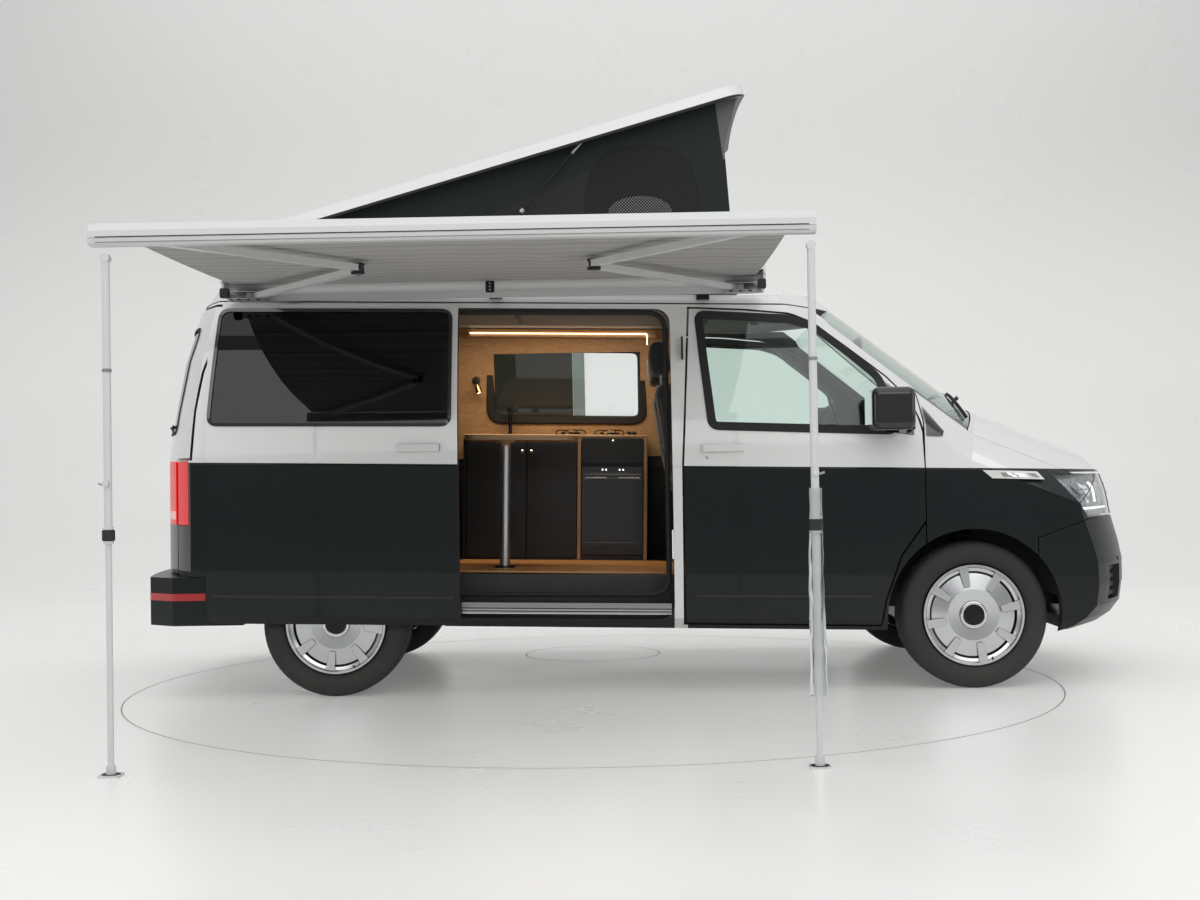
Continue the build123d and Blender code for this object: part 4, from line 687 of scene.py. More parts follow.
# %% [markdown]
# ## Finishes made for one part
# A tail lamp is red plastic with fine level ribs and a clear strip near its foot, and a faint glow of painted light. A
# rim is
# polished metal with painted shade: black in its sunk gaps and darker in its corners. The shell has a black band of
# painted shade along its lower edge, and the arms turn black at their elbows. Apart from the rim's corners, each of
# these is told by where a point lies on the van, so one finish shades a whole part and no part is cut up for it.


# %% lamps, rims, shell and arms
def red_lamp():
    """Red lens with fine level ribs, and a small clear window towards the tailgate near its foot."""
    mat, tree, shader = material("tail_lens", LENS_RED, 0.25, Coat_Weight=0.1, Specular_IOR_Level=0.15)
    _, _, y, z = place_on(tree)
    ribs = maths(tree, "SINE", maths(tree, "MULTIPLY", z, 520.0))
    inboard = maths(tree, "LESS_THAN", maths(tree, "ABSOLUTE", y), 0.765)
    foot = all_of(tree, one_less(tree, band(tree, z, 0.880, 0.882)), maths(tree, "GREATER_THAN", z, 0.842), inboard)
    colour = mix_colour(tree, foot, (*LENS_RED, 1), (0.7, 0.68, 0.66, 1))
    inner = maths(tree, "MULTIPLY_ADD", ribs, 0.5, 0.5)
    colour = mix_colour(tree, maths(tree, "MULTIPLY", inner, 0.18), colour, (0.30, 0.003, 0.005, 1))
    feed(tree, shader, Base_Color=colour, Normal=bumped(tree, 0.08, 0.002, inner))
    # painted light: the lens gives off a faint red glow of its own, which brightens its red
    shader.inputs["Emission Color"].default_value = (0.8, 0.012, 0.02, 1)
    shader.inputs["Emission Strength"].default_value = 0.35
    return mat


def rim_finish(name, axle_x):
    """Polished metal with painted shade: black in the sunk gap between the disc and the outer ring, told by the
    distance from the axle, and darker in corners found by ambient occlusion.
    """
    mat, tree, shader = material(name, RIM_METAL, 0.2, 1.0)
    _, x, y, z = place_on(tree)
    dx, dz = maths(tree, "SUBTRACT", x, axle_x), maths(tree, "SUBTRACT", z, AXLE_Z)
    radius = maths(tree, "SQRT", maths(tree, "ADD", maths(tree, "MULTIPLY", dx, dx), maths(tree, "MULTIPLY", dz, dz)))
    # painted shade: sunk faces in the gap between the disc and the outer ring are painted black and lose their metal
    sunk = maths(tree, "LESS_THAN", maths(tree, "ABSOLUTE", y), WHEEL_Y + 0.062)
    gap = maths(tree, "MULTIPLY", band(tree, radius, 0.184, 0.186), sunk)
    # painted shade: corners that ambient occlusion finds are darkened, which outlines the tabs
    near = put(tree, "AmbientOcclusion", {"Distance": 0.014}, samples=8).outputs["AO"]
    corners = maths(tree, "MULTIPLY", one_less(tree, band(tree, near, 0.35, 0.85)), 0.8)
    colour = mix_colour(tree, gap, (*RIM_METAL, 1), (0.012, 0.012, 0.012, 1))
    colour = mix_colour(tree, corners, colour, (0.05, 0.05, 0.052, 1))
    hub = maths(tree, "LESS_THAN", radius, 0.050)
    colour = mix_colour(tree, hub, colour, (0.02, 0.02, 0.021, 1))
    turned_lines = maths(tree, "SINE", maths(tree, "MULTIPLY", radius, 4200.0))
    dust = use(tree, "dust", {"Top": 0.7, "Amount": 0.25})
    colour = mix_colour(tree, dust.outputs["Mask"], colour, DUST)
    rough = maths(tree, "MULTIPLY_ADD", dust.outputs["Mask"], 0.6, 0.16)
    normal = bumped(tree, 0.03, 0.001, turned_lines)
    feed(tree, shader, Base_Color=colour, Metallic=one_less(tree, gap), Roughness=rough, Normal=normal)
    return mat


def roof_finish():
    """White shell with a black band of painted shade near its lower edge, standing for its rim in shadow, and a lined
    inside.
    """
    mat, tree, shader = material("roof_white", WHITE[:3], 0.34, Coat_Weight=0.8, Coat_Roughness=0.05)
    coords, x, y, z = place_on(tree)
    dx, dz = maths(tree, "SUBTRACT", x, ROOF_REAR), maths(tree, "SUBTRACT", z, ROOF_FOOT_Z)
    above = maths(tree, "SUBTRACT", maths(tree, "MULTIPLY", dz, cos(RISE)), maths(tree, "MULTIPLY", dx, sin(RISE)))
    # painted shade: a 13 mm black band along the shell's lower edge stands for its rim in shadow, and it loses its coat
    line = maths(tree, "LESS_THAN", above, 0.013)
    down = maths(tree, "LESS_THAN", put(tree, "SeparateXYZ", {0: object_normal(tree)}).outputs["Z"], -0.4)
    within = maths(tree, "MULTIPLY", down, maths(tree, "LESS_THAN", maths(tree, "ABSOLUTE", y), 0.70))
    colour = mix_colour(tree, line, WHITE, (0.01, 0.01, 0.01, 1))
    colour = mix_colour(tree, within, colour, (0.34, 0.34, 0.33, 1))
    peel = use(tree, "peel", {"Vector": coords, "Scale": 45.0, "Depth": 0.006})
    bare = maths(tree, "MAXIMUM", line, within)
    coat = maths(tree, "SUBTRACT", 0.8, maths(tree, "MULTIPLY", bare, 0.8))
    rough = maths(tree, "MULTIPLY_ADD", bare, 0.4, 0.3)
    feed(tree, shader, Base_Color=colour, Roughness=rough, Coat_Weight=coat, Normal=peel.outputs["Normal"])
    return mat


def arm_finish():
    """White coated arms that turn dark about their elbows and end pins."""
    mat, tree, shader = material("arm_white", COATED, 0.35)
    coords = put(tree, "TexCoord").outputs["Object"]
    dark = 0.0
    for elbow in ELBOWS.values():
        away = put(tree, "VectorMath", {0: coords, 1: (*elbow, ARM_Z)}, operation="DISTANCE").outputs["Value"]
        dark = maths(tree, "MAXIMUM", dark, maths(tree, "LESS_THAN", away, 0.052))
    fine = use(tree, "peel", {"Vector": coords, "Scale": 150.0, "Depth": 0.015})
    colour = mix_colour(tree, dark, (*COATED, 1), (0.02, 0.02, 0.021, 1))
    feed(tree, shader, Base_Color=colour, Normal=fine.outputs["Normal"])
    return mat


M["tail"], M["roof"], M["arm"] = red_lamp(), roof_finish(), arm_finish()
M["tail_red"] = plain("reflector_red", (0.50, 0.008, 0.010), 0.18, grain=(900.0, 0.2), Coat_Weight=1.0)
M["rim_front"], M["rim_rear"] = rim_finish("rim_front", AXLE_X), rim_finish("rim_rear", -AXLE_X)
print(len(M), "finishes")

# %% [markdown]
# ## The frame gets its finishes
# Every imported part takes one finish. Parts of one colour and one make share it, as they would come out of one paint
# shop or one mould, so a change to it reaches all of them.

# %% finishes put on the frame
FINISH = {
    "paint_sides": ["body_sides"],
    "paint": ["wings", "sliding_door", "tailgate", "bonnet"],
    "paint_doors": ["door_left", "door_right"],
    "paint_dark": ["bumpers"],
    "paint_white": ["roof_panel"],
    "black_gloss": ["front_trim"],
    "lens": ["headlamps"],
    "tail": ["tail_lamps"],
    "glass": ["windscreen", "door_glass_left", "door_glass_right"],
    "glass_dark": ["tailgate_glass"],
    "glass_sides": ["side_glass"],
    "roof": ["roof_shell"],
    "under": ["floor_pan", "front_frame", "rear_suspension", "wheel_housings", "knuckle_left", "knuckle_right"],
    "cast": ["engine"],
    "exhaust": ["exhaust"],
    "dash": ["dashboard", "steering_wheel"],
    "cabinet": ["kitchen_unit", "seat_bases"],
    "oak": ["worktop", "wall_lining"],
    "table": ["table"],
    "steel": ["roof_links"],
    "dark_steel": ["strut_cylinders", "strut_rods", "roof_fittings"],
    "coat_white": ["awning_case", "awning_rail", "leg_tube_front", "leg_tube_rear", "leg_rod_front", "leg_rod_rear"],
    "arm": ["arm_inner_front", "arm_inner_rear", "arm_outer_front", "arm_outer_rear"],
    "rim_front": ["wheel_front_left", "wheel_front_right"],
    "rim_rear": ["wheel_rear_left", "wheel_rear_right"],
}
for finish, names in FINISH.items():
    for name in names:
        mesh = nodes[name].data
        mesh.materials.clear()
        mesh.materials.append(M[finish])
        mesh.polygons.foreach_set("material_index", [0] * len(mesh.polygons))
print("frame finished:", sum(len(v) for v in FINISH.values()), "nodes")

# %% [markdown]
# ## Tyres
# A tyre is turned from its own section. Its tread has four grooves round it, and shallower cuts across its ribs that
# change sides from rib to rib. All of it is a depth taken off the radius, so one grid of points holds the whole tyre.
# The lowest points are pressed flat on the ground.

# %% tyres
TYRE_HALF = [(0.072, 0.236), (0.100, 0.243), (0.113, 0.262), (0.116, 0.288), (0.112, 0.312), (0.102, 0.330),
             (0.090, 0.339)]
TREAD_HALF_WIDTH, TREAD_RADIUS, TREAD_DEPTH = 0.088, 0.3435, 0.007
GROOVES = (-0.052, -0.018, 0.018, 0.052)


def tyre(name, x, side, body, node):
    """Radius at (turn, across) is the section's, less groove depth where |across - groove| < 5 mm, less cuts."""
    flank = chaikin(TYRE_HALF, 2)
    tread_u = np.linspace(TREAD_HALF_WIDTH, -TREAD_HALF_WIDTH, 61)
    section = np.concatenate(
        [flank, np.stack([tread_u, TREAD_RADIUS - 0.35 * tread_u**2], 1), (flank * [-1, 1])[::-1]]
    )
    turns = 288
    a = np.linspace(0, 2 * pi, turns, endpoint=False)[:, None]
    u, r = section[None, :, 0], section[None, :, 1]
    on_tread = (np.abs(u) < TREAD_HALF_WIDTH + 1e-6) & (r > 0.338)
    ring = np.zeros_like(u)
    for groove in GROOVES:
        ring = np.maximum(ring, (np.abs(u - groove) < 0.0046).astype(float))
    rib = np.digitize(u, GROOVES)
    cuts = ((a * 72 / (2 * pi) + rib * 0.37 + np.abs(u) * 6) % 1.0 < 0.25) * np.where(np.abs(u) > 0.052, 1.0, 0.55)
    radius = r - on_tread * TREAD_DEPTH * np.maximum(ring, cuts * (np.abs(u) > 0.02))
    points = np.stack(
        [x + radius * np.sin(a), side * WHEEL_Y + u * side + 0 * a, AXLE_Z + radius * np.cos(a)], -1
    )
    points[..., 2] = np.maximum(points[..., 2], 0.0)
    faces = grid_quads(turns, section.shape[0], close_rows=True)
    faces = faces if side < 0 else faces[:, ::-1]
    uv = np.stack([np.broadcast_to(a / (2 * pi), radius.shape), np.broadcast_to(r, radius.shape)], -1).reshape(-1, 2)
    return piece(name, (points.reshape(-1, 3), faces), M["tyre"], body, uv=uv, node=node)


def tyre_finish():
    """Black rubber, with fine rings on the sidewall and dust in the tread."""
    mat, tree, shader = material("tyre_rubber", (0.018, 0.018, 0.018), 0.72)
    split = put(tree, "SeparateXYZ", {0: put(tree, "UVMap").outputs["UV"]}).outputs
    turn, radius = split["X"], split["Y"]

    def between(low, high):
        return all_of(tree, band(tree, radius, *low), one_less(tree, band(tree, radius, *high)))

    rings = maths(tree, "SINE", maths(tree, "MULTIPLY", radius, 900.0))
    wall, shoulder = between((0.245, 0.25), (0.265, 0.27)), between((0.318, 0.32), (0.334, 0.336))
    teeth = maths(tree, "GREATER_THAN", maths(tree, "SINE", maths(tree, "MULTIPLY", turn, 2 * pi * 144)), 0.0)
    height = maths(tree, "ADD", maths(tree, "MULTIPLY", rings, wall), maths(tree, "MULTIPLY", teeth, shoulder))
    dust = use(tree, "dust", {"Top": 0.72, "Amount": 0.5})
    colour = mix_colour(tree, dust.outputs["Mask"], (0.018, 0.018, 0.018, 1), (0.10, 0.09, 0.08, 1))
    feed(tree, shader, Base_Color=colour, Normal=bumped(tree, 0.5, 0.001, height))
    return mat


M["tyre"] = tyre_finish()
for axle, x in (("front", AXLE_X), ("rear", -AXLE_X)):
    for side, hand in HANDS:
        tyre(f"tread_{axle}_{hand}", x, side, f"wheel_{axle}_{hand}", f"tyre_{axle}_{hand}")
        face = side * (WHEEL_Y + 0.0905)
        trim = turned([(0.058, -0.001), (0.062, 0.0015), (0.056, 0.0035), (0.050, 0.002), (0.050, -0.001)],
                      (x, face, AXLE_Z), (0, side, 0), 64)
        piece(f"hub_ring_{axle}_{hand}", trim, M["chrome"], f"wheel_{axle}_{hand}")
        ends = [(x, side * (WHEEL_Y + 0.078), AXLE_Z - 0.222), (x, side * (WHEEL_Y + 0.105), AXLE_Z - 0.214)]
        valve, valve_faces = tube(ends, 0.004)
        valve = turn_about(valve, np.array([x, 0, AXLE_Z]), (0, 1, 0), 0.39 * side)
        piece(f"valve_{axle}_{hand}", (valve, valve_faces), M["rubber"], f"wheel_{axle}_{hand}")
print("tyres turned with", len(GROOVES), "grooves each")

# %% [markdown]
# ## Thin pieces laid on the skin
# A seal follows the outline of its pane. Its points are shot at the body, so it lies on the curved skin wherever
# that goes, and a small flat profile is carried along it. Panels and strips are grids laid on the skin the same way.


# %% laying things on the skin
def rounded(outline, radius, steps=6):
    """A closed outline whose corners become curves that start and end a radius away from each corner."""
    p = np.asarray(outline, float)
    back, on = unit(np.roll(p, 1, 0) - p), unit(np.roll(p, -1, 0) - p)
    t = np.linspace(0, 1, steps)[:, None]
    turns = [
        (1 - t) ** 2 * (c + radius * b) + 2 * t * (1 - t) * c + t**2 * (c + radius * o) for c, b, o in zip(p, back, on)
    ]
    return np.concatenate(turns)


def slab(grid, back):
    """A thin solid: a grid of points, the same grid moved back, and walls round the edge."""
    n, m = grid.shape[:2]
    index = np.arange(n * m).reshape(n, m)
    rim = np.concatenate([index[0, :-1], index[:-1, -1], index[-1, :0:-1], index[:0:-1, 0]])
    walls = np.stack([rim, np.roll(rim, -1), np.roll(rim, -1) + n * m, rim + n * m], 1)
    top = grid.reshape(-1, 3)
    quads = grid_quads(n, m)
    return np.concatenate([top, top + np.asarray(back)]), [*quads, *(quads[:, ::-1] + n * m), *walls]


def seal(name, skin, outline, side, body, width=0.016, thick=0.005, radius=0.045, mat="rubber"):
    """A flat band along a rounded outline on the flank; outline points are (x, z)."""
    path = resample(rounded(outline, radius), 0.012, closed=True)
    path = np.array([skin.side(x, z, side, thick / 2) for x, z in path])
    shape = swept(path, flat_profile(width, thick), closed=True, up=(0, side, 0))
    return piece(name, shape, M[mat], body)


def flank_panel(name, skin, lower, upper, side, body, mat, out=0.003, rows=7, columns=24):
    """A thin panel between a lower and an upper line of (x, z) points, laid on the flank."""
    t = np.linspace(0, 1, columns)

    def along(line):
        line = np.asarray(line, float)
        s = np.concatenate([[0], np.cumsum(np.linalg.norm(np.diff(line, axis=0), axis=1))])
        return np.stack([np.interp(t * s[-1], s, line[:, k]) for k in (0, 1)], 1)

    low, high = along(lower), along(upper)
    mix = np.linspace(0, 1, rows)[:, None, None]
    flat = low * (1 - mix) + high * mix
    grid = np.array([[skin.side(x, z, side, out) for x, z in row] for row in flat])
    return piece(name, slab(grid, (0, -side * (out + 0.002), 0)), M[mat], body)


def end_panel(name, skin, y_low, y_high, z_low, z_high, body, mat, out=0.003, end=1, rows=6, columns=20):
    """A thin upright panel laid on the nose (end 1) or the tail (end -1) between two y and two z values."""
    ys, zs = np.linspace(y_low, y_high, columns), np.linspace(z_low, z_high, rows)
    grid = np.array([[skin.front(y, z, out, end) for y in ys] for z in zs])
    return piece(name, slab(grid, (-end * (out + 0.002), 0, 0)), M[mat], body)


def disc_on(name, place, axis, radius, thick, mat, body, dome=0.3):
    """A low round button: radius falls off at its edge, height follows a flat dome."""
    r = np.linspace(0.001, 1, 8)
    profile = [(radius * a, thick * (1 - dome * a**2)) for a in r] + [(radius, 0), (0.001, 0)]
    return piece(name, turned(profile, place, axis, 32), M[mat], body)


def in_body(points):
    """From the body's leaning frame to the ground's: turned by the rake about the y axis."""
    p = np.asarray(points, float)
    x, y, z = p[..., 0], p[..., 1], p[..., 2]
    return np.stack([x * cos(RAKE) + z * sin(RAKE), y, -x * sin(RAKE) + z * cos(RAKE)], -1)


def body_point(x, y, z):
    """One point from the body's leaning frame."""
    return in_body((x, y, z))


def box_piece(name, low, high, radius, mat, body="body", leaned=True, cuts=5):
    """A rounded box between two corners, by default in the body's leaning frame."""
    points, faces = rounded_box(low, high, radius, cuts)
    return piece(name, (in_body(points) if leaned else points, faces), M[mat], body)


# %% [markdown]
# ## Seals and door furniture
# Each pane sits in a black rubber or a gloss band a few centimetres wide. The outlines are the panes' own, so a band
# covers the joint between glass and metal. Mirrors get their glass, doors a lock and a rub strip.

# %% window seals and door furniture
DOOR_GLASS = [(0.236, 1.784), (0.666, 1.756), (0.769, 1.724), (0.940, 1.590), (1.080, 1.468), (1.143, 1.212),
              (0.290, 1.248), (0.256, 1.560)]
FRONT_SIDE_GLASS = [(-0.905, 1.815), (0.060, 1.793), (0.060, 1.262), (-0.905, 1.284)]
REAR_SIDE_GLASS = [(-2.030, 1.838), (-1.010, 1.816), (-1.010, 1.290), (-2.072, 1.310)]
SLIDE_GLASS = [(-2.030, 1.838), (-0.936, 1.816), (-0.939, 1.270), (-2.072, 1.289)]
INSIDE_MIRROR = 0.980  # between the door's face and the mirror's head
for side, hand in HANDS:
    door, skin = f"door_{hand}", Skin(f"door_{hand}", f"door_glass_{hand}", flank_start=INSIDE_MIRROR)
    seal(f"seal_door_{hand}", skin, DOOR_GLASS, side, door, radius=0.03, width=0.040)
    flank_panel(f"mirror_triangle_{hand}", skin, [(1.100, 1.206), (1.232, 1.190)], [(1.086, 1.464), (1.232, 1.364)],
                side, door, "black_gloss", out=0.006)
    glass = rounded_box((0.994, 1.000, 1.226), (0.999, 1.200, 1.388), 0.0024, 4)
    piece(f"mirror_glass_{hand}", (glass[0] * [1, side, 1], glass[1]), M["mirror"], door)
    flank_panel(f"door_rub_strip_{hand}", skin, [(0.20, 0.446), (1.02, 0.432)], [(0.20, 0.458), (1.02, 0.444)], side,
                door, "black", out=0.003, rows=3)
    disc_on(f"door_lock_{hand}", skin.side(0.262, 1.098, side), (0, side, 0.1), 0.008, 0.003, "steel", door)
left_skin, wing_skin = Skin("body_sides", "side_glass"), Skin("wings", "front_trim", "bonnet")
right_skin = Skin("body_sides")
slide_skin = Skin("sliding_door", "side_glass")
seal("seal_left_front", left_skin, FRONT_SIDE_GLASS, 1, "body")
seal("seal_left_rear", left_skin, REAR_SIDE_GLASS, 1, "body")
seal("seal_sliding", slide_skin, SLIDE_GLASS, -1, "body", mat="black_gloss")
flank_panel("slide_rub_strip", slide_skin, [(-2.05, 0.482), (-0.93, 0.460)], [(-2.05, 0.494), (-0.93, 0.472)], -1,
            "body", "black", rows=3)
for side, hand in HANDS:
    flank_panel(f"wing_triangle_{hand}", wing_skin, [(1.290, 1.184), (1.362, 1.180)], [(1.290, 1.330), (1.378, 1.206)],
                side, "body", "black_gloss", out=0.004)
    flank_panel(f"badge_strip_{hand}", wing_skin, [(1.590, 0.981), (1.846, 0.972)], [(1.544, 1.020), (1.822, 1.010)],
                side, "body", "plate", out=0.003)
    flank_panel(f"badge_inlay_{hand}", wing_skin, [(1.640, 0.988), (1.822, 0.981)], [(1.626, 1.008), (1.806, 1.001)],
                side, "body", "chrome", out=0.0045, rows=4)
print("windows sealed")

# %% [markdown]
# ## The side doorway
# A black rubber runs round the opening, the door's rail crosses its foot in three bright ridges, and the white post
# ahead of it carries the hinges of the front door.

# %% doorway
opening = resample(rounded([(-1.2, 1.822), (0.078, 1.797), (0.078, 0.452), (-1.2, 0.476)], 0.09), 0.02, closed=True)
opening = opening[opening[:, 0] > -0.96]
opening_y = -0.868 + np.maximum(0, opening[:, 1] - 1.1) * 0.085
doorway = np.stack([opening[:, 0], opening_y, opening[:, 1]], 1)
piece("doorway_rubber", swept(doorway, ring_profile(0.013, 8), up=(0, 1, 0)), M["rubber"], "body")
RIDGES = ((0.366, 0.376, "steel"), (0.381, 0.389, "steel"), (0.394, 0.418, "coat_grey"))  # low, high, finish
for number, (low, high, mat) in enumerate(RIDGES):
    flank_panel(f"door_rail_{number}", right_skin, [(-0.90, low + 0.020), (0.085, low)],
                [(-0.90, high + 0.020), (0.085, high)], -1, "body", mat, out=0.007, rows=4)
disc_on("step_lamp", (0.032, -0.700, 0.498), (0, -1, 0.0), 0.014, 0.004, "step_light", "body")
for number, z in enumerate((1.62, 1.12, 0.66)):
    box_piece(f"hinge_block_{number}", (0.150, -0.905, z - 0.055), (0.160, -0.868, z + 0.055), 0.003, "black",
              leaned=False)
print("doorway edged with", len(doorway), "points")

# %% [markdown]
# ## Lamps and the nose
# Behind a clear lens lie a silver liner, two bright bowls with a bulb, and a white line of daytime light. Rays from a
# fixed centre find the inside of the lens, so all of it follows the lens's curve and stays behind it. The grille gets
# three bright strips, the bumper its sensors and slats, and the badge and plate stay blank.

# %% lamps, grille and the nose
LAMP_CENTRE_X, LAMP_CENTRE_Y = 1.62, 0.46
LENS_REACH = 0.56  # from that centre to the lens
LAMP_BOWLS = ((radians(20), 0.905, 0.050), (radians(41), 0.912, 0.044))  # turn outwards, height, radius
lamp_skin, nose_skin = Skin("headlamps"), Skin("front_trim", "bumpers", "bonnet")


def lamp_point(side, turn, z, deep):
    """Point under the lens: a level ray from a fixed centre, turned outwards from straight ahead, less a depth."""
    ray = np.array([cos(turn), side * sin(turn), 0.0])
    start = np.array([LAMP_CENTRE_X, side * LAMP_CENTRE_Y, z])
    return lamp_skin.hit(start + ray * 1.5, -ray, start + ray * 0.55) - ray * deep


for side, hand in HANDS:
    turns, heights = np.linspace(radians(9), radians(51), 22), np.linspace(0.80, 0.985, 9)
    liner = np.array([[lamp_point(side, a, z, 0.034 + 0.003 * cos(a * 60)) for a in turns] for z in heights])
    piece(f"lamp_liner_{hand}", slab(liner, (-0.003, 0, 0)), M["lamp_silver"], "body")
    for number, (turn, z, radius) in enumerate(LAMP_BOWLS):
        rho, theta = np.meshgrid(np.linspace(0.05, 1, 8), np.linspace(0, 2 * pi, 33), indexing="ij")
        bowl = np.array([
            [lamp_point(side, turn + r * cos(t) * radius / LENS_REACH, z + r * sin(t) * radius,
                        0.014 + 0.018 * (1 - r * r)) for r, t in zip(rs, ts)] for rs, ts in zip(rho, theta)
        ])
        piece(f"lamp_bowl_{hand}_{number}", slab(bowl, (-0.002, 0, 0)), M["chrome"], "body")
        bulb = lamp_point(side, turn, z, 0.022)
        disc_on(f"lamp_bulb_{hand}_{number}", bulb, (cos(turn), side * sin(turn), 0), 0.017, 0.008, "lens_core", "body",
                dome=0.9)
    low = [lamp_point(side, a, 0.832, 0.016) for a in np.linspace(radians(10), radians(56), 20)]
    piece(f"day_light_{hand}", swept(low, flat_profile(0.010, 0.008), up=(0, 0, 1)), M["day_light"], "body")
    up_line = [lamp_point(side, radians(31), z, 0.014) for z in np.linspace(0.86, 0.95, 8)]
    piece(f"day_light_up_{hand}", swept(up_line, flat_profile(0.020, 0.006), up=(1, side * 0.6, 0)), M["day_light"],
          "body")
for number, z in enumerate((0.852, 0.898, 0.944)):
    end_panel(f"grille_strip_{number}", nose_skin, -0.435, 0.435, z - 0.0022, z + 0.0022, "body", "chrome", out=0.002,
              rows=3, columns=40)
badge, nose_lean = nose_skin.front(0, 0.897) + [-0.004, 0, 0], (1, 0, 0.16)
disc_on("badge_blank", badge, nose_lean, 0.060, 0.010, "black_gloss", "body")
ring = turned([(0.060, 0), (0.064, 0.006), (0.060, 0.011), (0.056, 0.006)], badge, nose_lean, 64)
piece("badge_ring", ring, M["chrome"], "body")
end_panel("front_plate", nose_skin, -0.26, 0.26, 0.600, 0.706, "body", "plate", out=0.004)
for side, hand in HANDS:
    for number, y in enumerate((0.34, 0.66)):
        disc_on(f"front_sensor_{hand}_{number}", nose_skin.front(side * y, 0.585, -0.001), (1, side * y * 0.4, 0),
                0.009, 0.003, "black_gloss", "body")
    inner_x, outer_x = (nose_skin.front(side * y, 0.60)[0] for y in (0.62, 0.85))
    for number, z in enumerate((0.425, 0.465, 0.505, 0.545)):
        ys = np.linspace(0.644, 0.826, 12)
        xs = np.interp(ys, [0.62, 0.85], [inner_x, outer_x]) - 0.022
        line = np.stack([np.stack([xs, side * ys, 0 * ys + z + dz], 1) for dz in (-0.010, 0.010)])
        piece(f"side_slat_{hand}_{number}", slab(line, (-0.02, 0, 0)), M["black"], "body")

# %% [markdown]
# ## The tail
# The tailgate carries its share of the lamps, a blank plate under a bright bar, a badge blank and a wiper. A black
# strip set back in the joint above it is a seal that also stands for the joint's shadow, as painted shade. The bumper's
# corners get curved red reflectors, found with rays from a centre.

# %% the tail
tail_skin, rear_bumper_skin = Skin("tailgate", "tailgate_glass"), Skin("bumpers")
TAIL_GLASS = [(-0.69, 1.262), (0.69, 1.262), (0.69, 1.772), (-0.69, 1.772)]
ring_path = resample(rounded(TAIL_GLASS, 0.06), 0.015, closed=True)
ring_path = np.array([tail_skin.front(y, z, 0.0025, -1) for y, z in ring_path])
piece("seal_tail", swept(ring_path, flat_profile(0.016, 0.005), closed=True, up=(-1, 0, 0.2)), M["rubber"], "tailgate")
end_panel("rear_plate", tail_skin, -0.26, 0.26, 0.715, 0.825, "tailgate", "plate", out=0.003, end=-1)
end_panel("plate_light_bar", tail_skin, -0.24, 0.24, 0.838, 0.846, "tailgate", "chrome", out=0.003, end=-1, rows=3)
end_panel("high_brake_lamp", tail_skin, -0.17, 0.17, 1.800, 1.820, "tailgate", "tail_red", out=0.004, end=-1)
GAP_SHADE_FOOT = 1.855  # the black strip of painted shade leans forward from the tailgate's top edge
# painted shade: a black strip 22 mm behind the tailgate's face fills the joint above it, a seal that also stands for
# the joint's shadow
gap_shade_strip = np.array([[tail_skin.front(y, GAP_SHADE_FOOT, -0.022, -1) + [0.6 * (z - GAP_SHADE_FOOT), 0, z - GAP_SHADE_FOOT]
                    for y in np.linspace(-0.745, 0.745, 40)] for z in (1.866, 1.884, 1.902)])
piece("tail_gap_shade_strip", slab(gap_shade_strip, (0.010, 0, 0)), M["black"], "body")
disc_on("tail_badge_blank", tail_skin.front(0, 1.05, -0.002, -1), (-1, 0, 0), 0.052, 0.006, "chrome", "tailgate")
wiper_line = [tail_skin.front(y, 1.245 + 0.05 * min(1, abs(y) * 3), 0.016, -1) for y in np.linspace(0.0, -0.40, 12)]
piece("tail_wiper_arm", tube(wiper_line, 0.006, 8), M["black"], "tailgate")
blade = [tail_skin.front(y, 1.300, 0.007, -1) for y in np.linspace(-0.10, -0.52, 14)]
piece("tail_wiper_blade", swept(blade, flat_profile(0.012, 0.010), up=(-1, 0, 0)), M["rubber"], "tailgate")
disc_on("tail_wiper_pivot", tail_skin.front(0, 1.245, -0.001, -1), (-1, 0, 0.2), 0.022, 0.020, "black", "tailgate")
for side, hand in HANDS:
    inner, outer = sorted((side * 0.600, side * 0.771))
    end_panel(f"tail_lamp_inner_{hand}", tail_skin, inner, outer, 0.818, 1.122, "tailgate", "tail", out=0.004, end=-1,
              rows=8)
    corner, centre = [], np.array([-2.13, side * 0.62, 0.480])
    for turn in np.linspace(radians(86), radians(152), 22):
        ray = np.array([cos(turn), side * sin(turn), 0.0])
        corner.append([rear_bumper_skin.hit(centre + ray * 1.2 + [0, 0, dz], -ray, centre + ray * 0.35) + ray * 0.003
                       for dz in (-0.017, 0.017)])
    grid = np.array(corner).transpose(1, 0, 2)
    piece(f"rear_reflector_{hand}", slab(grid, (0.004, -side * 0.004, 0)), M["tail_red"], "body")
    for number, y in enumerate((0.30, 0.62)):
        disc_on(f"rear_sensor_{hand}_{number}", rear_bumper_skin.front(side * y, 0.52, -0.001, -1), (-1, 0, 0), 0.009,
                0.003, "black_gloss", "body")

# %% [markdown]
# ## Wipers
# Each blade is a strip that lies on the windscreen, so its path is dropped onto the glass from above and lifted off
# square to it. The arm runs a little higher, from a cap at its root to the blade's middle.

# %% wipers on the windscreen
screen_skin = Skin("windscreen", "front_trim", "bonnet")
OFF_SCREEN = (0.6, 0, 0.8)  # square to the glass


def on_screen(x, y, out):
    """Point above the glass at x and y, lifted square to it."""
    p = screen_skin.hit((x, y, 3.0), (0, 0, -1), (x, y, 1.35))
    return p + np.array(OFF_SCREEN) * out


